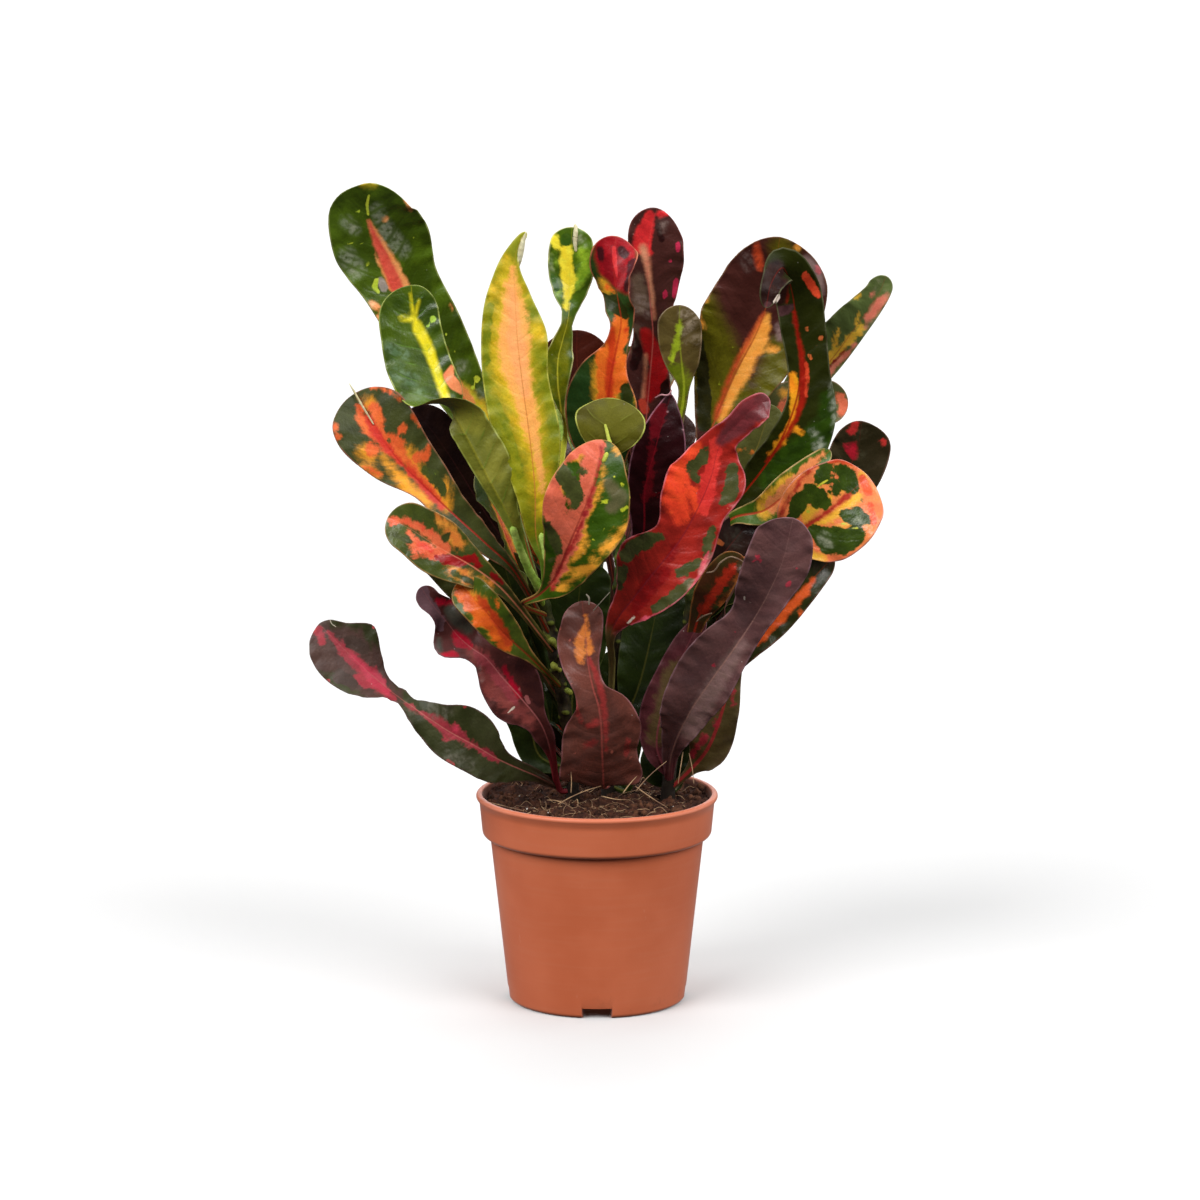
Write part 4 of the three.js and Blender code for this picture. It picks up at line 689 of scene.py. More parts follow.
                 " 609 545 3, 600 555 3; 597 562 3.5, 585 569 3.5, 575 576 3, 561 588 3;"
                 " 618 452 3; 586 449 10, 574 454 8"),
        "band": ("e2725c d86850", "594 447 11, 590 465 9, 586 490 9, 578 515 10, 570 540 9, 562 562 7,"
                 " 554 582 4; 580 448 9, 566 454 8, 553 474 8, 550 494 10, 556 514 12, 566 530 10;"
                 " 576 500 8"),
        "core": ("aa2c2a 942428", "602 447 1.2, 597 475 1.8, 590 500 2.2, 582 522 2.2, 575 540 2.2,"
                 " 566 556 2, 558 573 2, 552 590 1.6"),
        "blot": ("3e4420 4a5228", "560 464 5, 564 474 8, 572 486 9, 577 498 7, 573 508 3; 583 471 5;"
                 " 547 526 4, 552 534 6, 555 544 6, 558 552 4; 552 560 3"),
        "head": ("5c5a3c 545638", "609 484 6, 620 498 8, 612 508 6"),
        "mark": ("c8a83c d0b040", "583 471 1.5"),
        "spot": ("c2ce36 b0c030", "622 485 2.8; 632 498 2.4; 614 476 1.8; 627 508 2; 604 530 1.8;"
                 " 611 537 1.4;"
                 " 607 501 2.2, 600 502 1; 622 510 2.4;"
                 " 594 521 1.8; 615 523 1.8; 594 540 1.8; 597 549 1.8; 586 560 1.5"),
    },
    "olive_round": {"blade": "424a06 545a0c", "under": "484606 5a5a0e", "rib": "a8b038 0.9",
                    "edge": "d0d668", "stalk": "9cab34", "vein": "848c34", "rough": 0.4,
                    "rib_end": 0.55},
    "red_twist": {
        "blade": "22401a 2e4a1e", "under": "7a1c28 8c2430", "rib": "b02c18 0.5", "edge": "d87a5c",
        "calm": 0.7, "shine": 0.6, "rough": 0.32,
        "wash": ("e8a430 e0a82c", "602 280 4, 608 290 6; 597 362 3, 599 382 3.5, 597 400 3;"
                 " 634 392 3, 638 402 3; 606 376 12, 606 400 13, 606 424 12"),
        "band": ("e87628 e06824", "606 286 3, 613 291 3; 621 318 7, 620 335 10, 614 350 10;"
                 " 603 355 8, 606 372 9, 606 400 10, 608 420 10; 622 362 8, 618 385 8, 624 372 6"),
        "core": ("d0441c c43c1a", "612 330 4, 612 350 4, 610 370 4, 609 400 4; 626 330 3"),
        "blot": ("2c3410 24300e", "604 297 4, 612 302 8, 620 310 6, 625 316 4; 596 292 3;"
                 " 625 388 5, 628 396 6, 626 404 5"),
        "head": ("9c1420 7e0c18", "616 242 20, 615 252 21, 617 264 20, 622 276 15, 627 286 8"),
        "mark": ("44121a 3a1014", "600 250 4, 602 260 3; 621 250 4, 625 255 4; 633 262 5, 631 276 5,"
                 " 627 288 4"),
        "spot": ("d03438 c42a34", "614 248 2, 615 262 2, 617 276 1.6"),
    },
    "tall_red": {
        "blade": "4c2a28 402220", "under": "6a3a36 744540", "rib": "c0605c 0.3", "edge": "8a4a44",
        "calm": 0.5,
        "wash": ("5e4c40 66564a", "638 278 6, 640 292 8, 640 306 8; 632 330 5, 630 348 5"),
        "band": ("e43438 d62c34", "650 216 5, 645 230 9, 642 244 9, 648 252 4; 660 214 4, 666 213 3"),
        "core": ("ac0e18 9c101a", "646 334 6, 652 350 8, 660 366 9, 654 386 10, 648 396 6"),
        "blot": ("200808 2a0c0c", "668 386 7, 664 396 5; 634 335 3, 637 352 5, 634 366 5;"
                 " 658 226 3, 662 240 3"),
        "head": ("e8a484 dc8c70", "643 248 3.5, 646 258 3.2, 649 275 2.2, 652 295 1.4, 654 318 1.2;"
                 " 646 355 1, 645 380 1, 643 398 1.5"),
        "mark": ("d8503c cc4434", "642 402 4, 645 410 4"),
        "spot": ("c83058 b82850", "678 244 2.5, 678 250 2.5; 670 261 2.2; 676 280 2.5, 675 296 3;"
                 " 665 292 2.5, 665 297 2.5"),
        "sheen": ("9a8c88 8a7c7a", "662 222 4, 662 230 3; 640 300 7, 648 312 4; 632 345 3"),
    },
    "small_oval": {
        "blade": "4e4222 5c5028", "under": "66702c 76803a", "rib": "a4b82e 0.7", "edge": "9c8468",
        "stalk": "6f8a26", "rough": 0.22,
        "wash": ("5e7010 6c7a18", "676 372 10, 684 384 8, 683 410 6"),
        "band": ("a2bc2a 94ac24", "680 322 2.2, 678 335 3, 675 350 3, 672 362 2.2"),
        "sheen": ("b0a494 9c9080", "684 312 5, 692 322 6, 686 336 4; 697 340 4"),
    },
    "dark_spear": {
        "blade": "1e0609 2a0a10", "under": "3c141c 481a22", "rib": "74101e 0.4", "edge": "a87080",
        "rough": 0.36, "shine": 0.5,
        "band": ("600c18 520a14", "660 410 7, 656 425 6, 652 440 3; 652 450 4, 650 475 4, 645 500 4;"
                 " 645 496 1.5, 660 494 1.5"),
        "spot": ("8a6a74 7c5c66", "668 411 1.6; 670 431 1.2; 683 430 1.2"),
    },
    "big_red": {
        "blade": "a0241c 821a14", "under": "682a38 76343e", "rib": "7c1c28 0.3", "edge": "d87882",
        "stalk": "8c8048", "show": 0.2, "rough": 0.32,
        "wash": ("f04e2a e64228", "700 446 4, 688 452 8, 682 464 11, 676 480 13, 676 498 14,"
                 " 680 512 11; 694 492 8, 696 508 6"),
        "band": ("d83a34 c82e2c", "715 442 6, 714 462 6, 708 480 8, 706 496 9, 704 510 6"),
        "core": ("8e0e10 780a0e", "664 572 7, 652 582 9, 644 596 9, 636 608 6; 676 546 4, 668 560 4;"
                 " 655 604 3"),
        "blot": ("3d4420 4a4e2a", "706 448 4, 704 457 5, 698 464 6, 690 468 5, 695 478 4, 697 483 2;"
                 " 732 470 6, 732 484 8, 729 496 6, 722 502 4; 625 556 7, 634 546 8, 648 541 8,"
                 " 660 536 4; 712 530 4, 709 541 6, 706 551 5; 699 562 3, 690 567 6, 680 573 5;"
                 " 689 582 5, 682 592 8, 668 602 8, 656 610 6; 622 570 6, 618 586 5"),
        "head": ("742e36 622a30", "722 440 6, 736 426 11, 750 412 13, 766 404 14, 774 412 8"),
        "mark": ("d4526a c84458", "708 552 1.5, 699 578 2, 691 592 3, 681 604 3.5, 660 615 4,"
                 " 640 624 4, 616 635 2.5"),
        "spot": ("d88e70 cc8266", "764 424 3, 769 427 3; 695 487 1.5; 728 508 1.2; 702 560 2"),
        "sheen": ("e8c0b8 dcb0a8", "700 576 1, 706 566 1.4, 711 556 1; 694 582 0.8, 688 590 0.8"),
        "fleck": ("eee4dc e0d4cc", "678 604 1.4, 683 602 2; 628 623 1.2, 634 617 1.4"),
    },
    "front_purple": {
        "blade": "74423a 5a342e", "under": "6a4448 745054", "rib": "b05450 0.4", "edge": "966064",
        "matte": 0.4, "calm": 0.8,
        "band": ("e08840 d87c38", "587 618 2.4, 584 630 4, 580 644 4.5, 580 660 3; 588 634 3,"
                 " 589 650 3"),
        "core": ("a83c3c 8e3030", "590 660 1.6, 596 674 2.4, 602 696 3, 605 714 3.4, 606 732 2.6,"
                 " 606 750 1.4; 597 722 4.4, 588 726 3; 594 742 3.4, 586 746 2.6; 582 722 2, 577 712 2,"
                 " 574 700 1.4; 628 740 1.8, 626 754 2"),
        "spot": ("b0645a a4584e", "570 640 1.1; 606 648 1; 612 668 1.2; 572 684 1; 620 690 1.1;"
                 " 586 770 1.2; 574 752 2.4; 612 752 1.8; 622 712 1.6; 559 628 2.6; 600 600 1.6;"
                 " 631 758 2"),
    },
    "brown_behind": {"blade": "4a1c14 3a1612", "under": "56302a 603a32", "rib": "8c3a2c 0.3",
                     "edge": "7a4a3c", "rough": 0.4},
    "big_upper_right": {
        "blade": "3e1c18 4c2622", "under": "5a4438 66523e", "rib": "a84a20 0.4", "edge": "8a6448",
        "soft": 2.6, "calm": 0.6, "rough": 0.36,
        "wash": ("565406 64620e", "706 300 8, 708 320 14, 712 345 22, 718 375 28, 728 405 28;"
                 " 776 352 14, 774 378 18, 765 400 16; 782 248 10, 790 256 7"),
        "band": ("f2a040 f6a84a", "767 316 3, 763 328 7, 757 344 9, 750 354 9, 746 368 8, 738 382 7,"
                 " 732 394 6, 726 408 4, 721 420 3; 768 349 3.5, 776 350 3; 698 316 2.5, 704 328 2;"
                 " 706 300 1.8; 797 247 3; 777 258 2.2"),
        "core": ("dc5834 c84824", "764 314 1.3, 756 328 1.8, 747 344 2, 737 362 2.3, 728 382 2.5,"
                 " 721 402 2.4, 716 418 2.4; 756 246 3, 758 256 4.5, 760 268 3"),
        "blot": ("24260a 2e2e0c", "699 342 4, 702 365 6, 704 395 7, 704 425 7"),
        # the head strokes paint a pinkish-grey sheen at the right edge, a painted highlight
        "head": ("8a7474 7c6668", "806 262 7, 816 276 7, 821 292 4; 778 326 3, 781 338 4"),
        "mark": ("c06a74 b46068", "817 268 3, 819 273 2"),
        "spot": ("a0ae2c 8c9c26", "720 383 2.2; 733 348 1.2"),
        "sheen": ("8a7878 7a6868", "746 258 6, 750 268 4"),
    },
    "dark_curled": {
        "blade": "262c08 1f2406", "under": "1c1010 281614", "rib": "8c180c 0.4", "edge": "5e5e40",
        "calm": 0.6, "rough": 0.34, "shine": 0.45,
        "wash": ("2a440a 203608", "832 400 12, 832 425 16, 815 448 20, 795 458 18, 775 480 16"),
        "band": ("f08e20 e8a022", "793 374 3, 794 388 4, 795 402 4, 793 416 3, 788 428 2.5,"
                 " 779 442 2, 770 454 1.5; 796 428 3, 802 433 2; 784 441 3"),
        "core": ("a02010 8c180c", "787 284 1, 787 303 1; 794 312 1.5, 798 335 2, 802 358 3,"
                 " 804 378 3.5, 802 400 3.5, 797 418 2.5, 788 432 2, 776 450 1.6, 766 462 1.2"),
        "blot": ("d64c2e c84026", "806 362 1.5, 808 380 1.8, 806 396 1.5; 805 276 4, 812 286 4,"
                 " 818 295 3"),
        "head": ("2a1410 1c0a08", "776 270 10, 768 284 9, 768 298 9; 782 285 8, 780 300 6"),
        "mark": ("4c3034 3c2428", "768 306 4, 776 312 5, 786 310 5, 792 306 3"),
        "spot": ("cc7040 c86434", "807 329 2.6; 821 338 2.6; 816 344 1.6; 809 356 2.2, 811 358 2"),
        "sheen": ("d0d8d0 b4c0b4", "818 446 4, 821 450 4; 812 431 1.6, 820 438 1.6; 834 384 4,"
                  " 836 410 4, 838 436 3"),
        "fleck": ("e8dcd8 d8ccc8", "775 302 2, 779 296 2"),
    },
    "far_upper_right": {
        "blade": "56683a 647844", "under": "62703a 707a42", "rib": "a8382c 0.3", "edge": "8c8c60",
        "rough": 0.42,
        "band": ("ecba44 e0b840", "826 364 4, 832 357 5, 840 350 5, 850 340 5, 858 332 4, 862 326 3;"
                 " 836 346 2.5, 837 336 2.5, 837 330 2; 856 296 3, 860 293 2; 857 328 1, 858 314 1"),
        "core": ("da7a68 e08874", "828 374 4, 834 366 3.5, 842 358 3, 850 350 2.5, 856 344 2;"
                 " 868 318 4, 876 308 5, 882 300 5, 886 296 4; 872 294 3.5; 866 326 2"),
        "mark": ("94281c 802418", "826 369 1, 838 358 1, 848 346 0.8"),
        "sheen": ("a4a684 94987a", "878 282 1.5, 875 292 1.5; 884 290 4, 888 296 3; 866 330 2,"
                  " 874 320 2"),
    },
    "pink_edge_right": {
        "blade": "5c6038 4c5430", "under": "6a7048 767a50", "rib": "c06848 0.3", "edge": "a08468",
        "wash": ("e8a840 dca038", "784 392 4, 792 396 4"),
        "band": ("e0785a d86c4c", "840 398 5, 846 406 7, 842 412 5; 778 412 4, 790 402 6"),
        "sheen": ("8a9484 788474", "844 424 6, 842 434 5"),
    },
    "dark_oval_right": {
        "blade": "2e2a18 3a3220", "under": "463828 4e4030", "rib": "7c2428 0.35", "edge": "7c5a4a",
        "rough": 0.4,
        "band": ("d83c38 c83034", "854 425 4.5, 852 431 4; 883 441 2.4, 885 446 1.8"),
        "core": ("bc1e34 a81c30", "847 446 2.5, 853 455 4, 854 444 3"),
        "sheen": ("5c5c48 50503e", "862 434 4; 862 455 3"),
    },
    "blotched_right": {
        "blade": "ea8850 e07448", "under": "86743c 7c6c38", "rib": "a83426 0.5", "edge": "d08878",
        "rough": 0.22,
        "wash": ("e8ac34 e4b43a", "806 514 6, 816 506 5, 828 498 4, 842 486 3; 812 524 4, 826 520 4,"
                 " 842 508 4, 856 498 4; 820 486 3, 828 479 2; 838 530 3, 850 525 3, 865 521 3;"
                 " 812 556 5, 822 558 4; 862 476 4; 786 474 4, 780 488 4"),
        "core": ("b03424 a02c20", "805 527 1.6, 818 519 2.4, 832 509 2.4, 845 498 2.4, 856 488 2;"
                 " 822 458 1.4, 800 480 2.2, 788 500 2, 781 515 1.4"),
        "blot": ("2a3e08 384e10", "811 491 7, 818 498 11, 825 504 6; 826 467 6, 822 478 8;"
                 " 842 469 7, 848 478 10, 851 486 8; 835 482 5, 836 492 5; 846 514 6, 856 517 10,"
                 " 864 518 7; 873 520 3; 816 532 8, 830 541 14, 844 541 14, 857 534 9; 863 500 2;"
                 " 801 497 6, 797 507 8, 793 516 6"),
        "mark": ("e05a34 d8502e", "829 461 2, 840 460 3, 850 463 3; 862 478 4, 868 492 4;"
                 " 870 505 3, 874 522 3"),
        "spot": ("c8cc40 b8c03a", "818 487 1.2, 827 480 1; 842 524 1.4, 858 528 1.2; 808 512 2"),
        "sheen": ("a8b4a0 bcc4b4", "824 538 4, 828 544 3; 858 520 2.5"),
    },
    "salmon_tongue": {
        "blade": "3a5c12 46681a", "under": "6c7434 76803c", "rib": "c03a28 0.5", "edge": "d8a870",
        "rough": 0.3,
        "wash": ("e8b438 f0bc40", "763 502 6, 764 511 6, 768 496 6, 776 488 4, 790 476 4"),
        "band": ("f09c64 ea8e58", "780 500 9, 790 490 9, 800 478 7, 810 466 5, 820 456 4; 772 504 8"),
        "sheen": ("9aac8c 88a078", "796 502 4; 752 518 3"),
    },
    "purple_front_right": {
        "blade": "6c4a4c 5c3e42", "under": "6c5058 76585e", "rib": "9c7672 0.3", "edge": "8c6870",
        "stalk": "6a2830", "matte": 0.65, "calm": 0.6,
        "wash": ("84686a 78605e", "742 644 5, 724 670 8, 710 694 9, 698 716 10, 690 730 9"),
        "spot": ("b8384c a83448", "788 585 2.5, 790 582 1.5; 757 555 2, 760 561 2; 753 561 1.5;"
                 " 797 569 1.5; 714 665 2.4; 735 631 1.5"),
        "fleck": ("eae0dc dcd0cc", "743 594 0.9, 745 600 1.1; 750 603 1.5"),
    },
    "orange_rib_right": {
        "blade": "2e320e 262a0c", "under": "4e4628 56502e", "rib": "d05a24 0.5", "edge": "7a4a34",
        "calm": 0.6,
        "band": ("da5c22 ca4e1c", "813 580 2.5, 803 594 4, 793 604 4.5, 780 618 4.5, 768 632 4,"
                 " 757 643 3.5; 799 611 2, 802 614 3.4"),
        "sheen": ("6a5a54 5a4c46", "822 568 6, 830 562 4"),
    },
    "olive_low_right": {
        "blade": "44381c 504626", "under": "4e4a2e 585434", "rib": "a02430 0.8", "edge": "6c5440",
        "matte": 0.4,
        "band": ("a02c3c 8c2430", "736 664 2, 734 684 2.5, 733 700 3.5, 732 706 2; 717 723 3;"
                 " 721 711 2; 706 736 3, 698 746 4, 691 756 4"),
    },
    "maroon_low": {
        "blade": "50242c 5e2e36", "under": "5a5438 666040", "rib": "8c4450 0.4", "edge": "7a4a54",
        "matte": 0.5,
        "wash": ("5c4c30 68583a", "676 668 6, 672 676 7, 666 696 8, 660 716 9, 656 736 8"),
    },
    "olive_mid_right": {
        "blade": "565a2c 4a4e24", "under": "66642e 706e36", "rib": "8c7c34 0.3", "edge": "8a8c60",
        "rough": 0.4,
        "band": ("cc742e c06a2a", "740 451 1.8; 744 451 1, 750 452 1; 752 452 2"),
    },
    "dark_mid_right": {"blade": "241614 2e1e1a", "under": "3a2a26 443430", "rib": "5a2a28 0.4",
                       "edge": "9a6a64", "spot": ("b86a3c aa5c34", "716 540 2.5, 722 544 2"),
                       "sheen": ("4c4c46 42423c", "736 528 6, 734 540 6")},
    "orange_mid_right": {
        "blade": "4a2a14 3a3412", "under": "5a3a22 644228", "rib": "b0301a 0.5", "edge": "b8743c",
        "band": ("b4301a a82a18", "704 610 5, 712 596 6, 722 582 6, 732 568 5"),
        "wash": ("b0602a a05424", "722 606 6, 730 596 4; 738 580 4"),
        "blot": ("2e3a12 263010", "726 590 3; 716 608 3"),
    },
    "black_behind_left": {"blade": "180c0e 22120f", "under": "1c1012 261618", "rib": "3a1c1e 0.3",
                          "edge": "4a2c2c", "rough": 0.4, "shine": 0.5},
}
# The look of the front leaves in the shade, which have no paint of their own: a dark green that is
# partly painted shade. Then the looks of round leaves.
DARK_GREEN = {"rough": 0.36, "blade": "1c2a0a 28380e", "under": "2e3216 383c1e",
              "rib": "5a5c28 0.4", "edge": "4c5428"}
BY_RULE = [
    {"blade": "38521a 2a4214", "under": "66702c 76803a", "rib": "c03c2c 0.5", "edge": "a09a58",
     "wash": ("e0a830 d8b438", "rib 0.24 3 4, 0.5 5 6, 0.8 4 3, 0.95 2 2"),
     "band": ("e07a48 d4603a", "rib 0.2 2 2, 0.5 4 3.4, 0.8 2.4 2, 0.92 1 1")},
    {"blade": "4a2c28 3a2220", "under": "6a4640 745048", "rib": "b83a38 0.5", "edge": "8c5850",
     "band": ("bc3438 a82c34", "rib 0.25 2 3, 0.5 5 3, 0.75 2 2.4, 0.9 1 1")},
    {"blade": "4c6a18 38581a", "under": "76843a 848e40", "rib": "d2c828 0.8", "edge": "b8b854",
     "wash": ("c8c02c bcb82e", "rib 0.25 2 2, 0.45 4 4.4, 0.6 3 2, 0.85 2.6 3, 0.95 1 1")},
    {"blade": "46481c 5a5a22", "under": "7a7636 86803e", "rib": "b43a26 0.5", "edge": "a0623c",
     "wash": ("e4a02e dc9630", "rib 0.2 4 5, 0.4 7 5, 0.62 4 7, 0.9 3 3"),
     "band": ("d65c2c c84e2a", "rib 0.22 2 3, 0.4 5 3.4, 0.62 2.6 5, 0.88 2 2"),
     "blot": ("3c441a 4a521e", "rib 0.45 1.5 0, 0.52 4 2, 0.58 1 0")},
    {"blade": "2c3c14 1f2e10", "under": "4c4a28 565430", "rib": "a83028 0.5", "edge": "6c6440",
     "band": ("b44426 a83a24", "rib 0.3 1.4 1.4, 0.6 2.6 2.2, 0.9 1 1")},
]


# ---------------------------------------------------------------- materials
def colour(text):
    """Linear colour of a typed sRGB hex value."""
    parts = [int(text[i:i + 2], 16) / 255 for i in (0, 2, 4)]
    return tuple(((v + 0.055) / 1.055) ** 2.4 if v > 0.04045 else v / 12.92 for v in parts) + (1,)


class Nodes:
    """A material's nodes, made one call at a time; each call returns its main output."""

    def __init__(self, name):
        self.material = bpy.data.materials.new(name)
        self.material.use_nodes = True
        self.tree = self.material.node_tree
        self.tree.nodes.clear()

    def fill(self, node, inputs):
        """Sets or links sockets by name, or by number as i0, i1 and so on."""
        for key, value in inputs.items():
            number = key[1:]
            socket = node.inputs[int(number) if number.isdigit() else key.replace("_", " ")]
            if isinstance(value, bpy.types.NodeSocket):
                self.tree.links.new(value, socket)
            else:
                socket.default_value = value

    def add(self, kind, settings=None, out=0, **inputs):
        node = self.tree.nodes.new("ShaderNode" + kind)
        for key, value in (settings or {}).items():
            setattr(node, key, value)
        self.fill(node, inputs)
        return node.outputs[out]

    def math(self, op, a, b=0.0, c=0.0):
        return self.add("Math", {"operation": op}, i0=a, i1=b, i2=c)

    def times(self, a, b):
        return self.math("MULTIPLY", a, b)

    def times_plus(self, a, b, c):
        return self.math("MULTIPLY_ADD", a, b, c)

    def mix(self, factor, a, b):
        return self.add("Mix", {"data_type": "RGBA"}, out=2, i0=factor, i6=a, i7=b)

    def veil(self, base, mask, strength, text):
        """A typed colour over the base, as strongly as the mask says times the strength."""
        return self.mix(self.times(mask, strength), base, colour(text))

    def place(self):
        return self.add("TexCoord", out=3)

    def parts(self, vector):
        node = self.tree.nodes.new("ShaderNodeSeparateXYZ")
        self.tree.links.new(vector, node.inputs[0])
        return node.outputs[0], node.outputs[1], node.outputs[2]

    def split(self, name):
        return self.parts(self.add("Attribute", {"attribute_name": name}, out=1))

    def join(self, x, y, z):
        return self.add("CombineXYZ", i0=x, i1=y, i2=z)

    def noise(self, vector, scale, detail=2.0, rough=0.5):
        return self.add("TexNoise", Vector=vector, Scale=scale, Detail=detail, Roughness=rough)

    def step(self, value, lo, hi):
        return self.add("MapRange", {"interpolation_type": "SMOOTHSTEP"}, i0=value, i1=lo, i2=hi)

    def finish(self, **inputs):
        shader = self.tree.nodes.new("ShaderNodeBsdfPrincipled")
        self.fill(shader, inputs)
        output = self.tree.nodes.new("ShaderNodeOutputMaterial")
        self.tree.links.new(shader.outputs[0], output.inputs[0])
        return self.material


# How far, in mm, each painted layer's edge wanders along the veins and evenly, its softness in
# mm, and its strength.
LAYERS = {"wash": (2.6, 1.8, 2.2, 1), "band": (1.5, 1.5, 1.0, 1), "core": (1.0, 1.0, 1.1, 1),
          "blot": (0.8, 1.3, 0.5, 1), "head": (0.5, 0.8, 1.6, 1), "mark": (0.4, 0.9, 0.6, 1),
          "spot": (0.2, 0.5, 0.3, 1), "sheen": (1.6, 1.6, 2.4, 0.6), "fleck": (0, 0.15, 0.15, 1)}


def lively(text):
    """A leaf's colour, warmed a little, because the lights wash it out."""
    return tuple(min(c * gain, 1.0) for c, gain in zip(colour(text), (1.14, 1.06, 0.94, 1.0)))


# Noise scales per mm: the paint's streaks, clouds and tones, its fine grain and the two colours
# of a layer; where veins bend, veins last, the margin shows, dust lies, specks fall and sheen
# breaks.
STREAKS, CLOUDS, TONES, GRAIN, PAIRS = 1.0, 0.26, 0.07, 1.7, 0.16
BENDS, LASTING, MARGINS, DUST, SPECKS, BREAKS = 0.045, 0.13, 0.09, 0.11, 0.05, 0.4
# How far side veins bend in mm, how strongly a plain vein and the grain darken, and their colours.
VEIN_BEND, PLAIN_VEIN, GRAIN_DARK = 7.0, 0.13, 0.16
VEIN_BROWN, BLACK = (0.02, 0.006, 0.003, 1), (0.0, 0.0, 0.0, 1)
# Cells per mm of the specks and of the skin's cushions, and what a look has where it says nothing.
SPECK_CELLS, CUSHION_CELLS = 0.16, 0.45
PLAIN_LOOK = {"matte": 0.0, "calm": 1.0, "soft": 1.0, "show": 0.4, "rough": 0.26, "shine": 1.0}


def vein_masks(n, flat, veins, margin):
    """How far each point is off its side vein in mm, and masks of the vein and its groove."""
    bent = n.times_plus(n.math("SUBTRACT", n.noise(flat, BENDS, 1.0), 0.5), VEIN_BEND, veins)
    phase = n.math("FRACT", n.math("DIVIDE", bent, VEIN_STEP))
    off = n.times(n.math("ABSOLUTE", n.math("SUBTRACT", phase, 0.5)), VEIN_STEP)
    lasting = n.times(n.step(margin, 1.5, 6.0), n.step(n.noise(flat, LASTING, 1.0), 0.3, 0.62))
    return off, n.times(n.step(off, 0.5, 0.05), lasting), n.times(n.step(off, 1.5, 0.0), lasting)


def paint_layers(n, paint, look, fields, cover, streak, even, flat, off):
    """Each painted layer of the look over the blade's own colour."""
    for (layer, (wander, wobble, soft, strength)), field in zip(LAYERS.items(), fields):
        if layer not in look:
            continue
        if layer in ("wash", "band", "core"):
            soft *= look["soft"] if layer == "wash" else math.sqrt(look["soft"])
        edge = n.times_plus(streak, 4 * wander * look["calm"], field)
        edge = n.times_plus(even, 4 * wobble * look["calm"], edge)
        mask = n.times(n.times(n.step(edge, -soft, soft), cover), float(strength))
        # the sheen layer is a painted highlight, broken into patches between the veins
        if layer == "sheen":
            patchy = n.times(n.step(off, 0.2, 2.2), n.step(n.noise(flat, BREAKS, 3.0), 0.3, 0.6))
            mask = n.times(mask, n.times_plus(patchy, 0.85, 0.15))
        first, second = map(lively, look[layer][0].split())
        pair = n.mix(n.step(n.noise(flat, PAIRS, 3.0), 0.38, 0.64), first, second)
        paint = n.mix(mask, paint, pair)
    return paint


def rib_mask(n, look, along, across, under, total):
    """A midrib that thins out toward the tip and, where the look says so, fades away."""
    half, end = float(look["rib"].split()[1]), total * look.get("rib_end", 0.97)
    left = n.step(along, end, end * 0.55)
    reach = n.times_plus(left, 0.75 * half, 0.25 * half)
    ribbed = n.times(n.step(n.math("SUBTRACT", n.math("ABSOLUTE", across), reach), 0.3, -0.15),
                     n.times_plus(left, 0.55, 0.0 if "rib_end" in look else 0.25))
    if "rib_under" in look:
        ribbed = n.times(ribbed, n.times_plus(under, look["rib_under"] - 1.0, 1.0))
    return ribbed


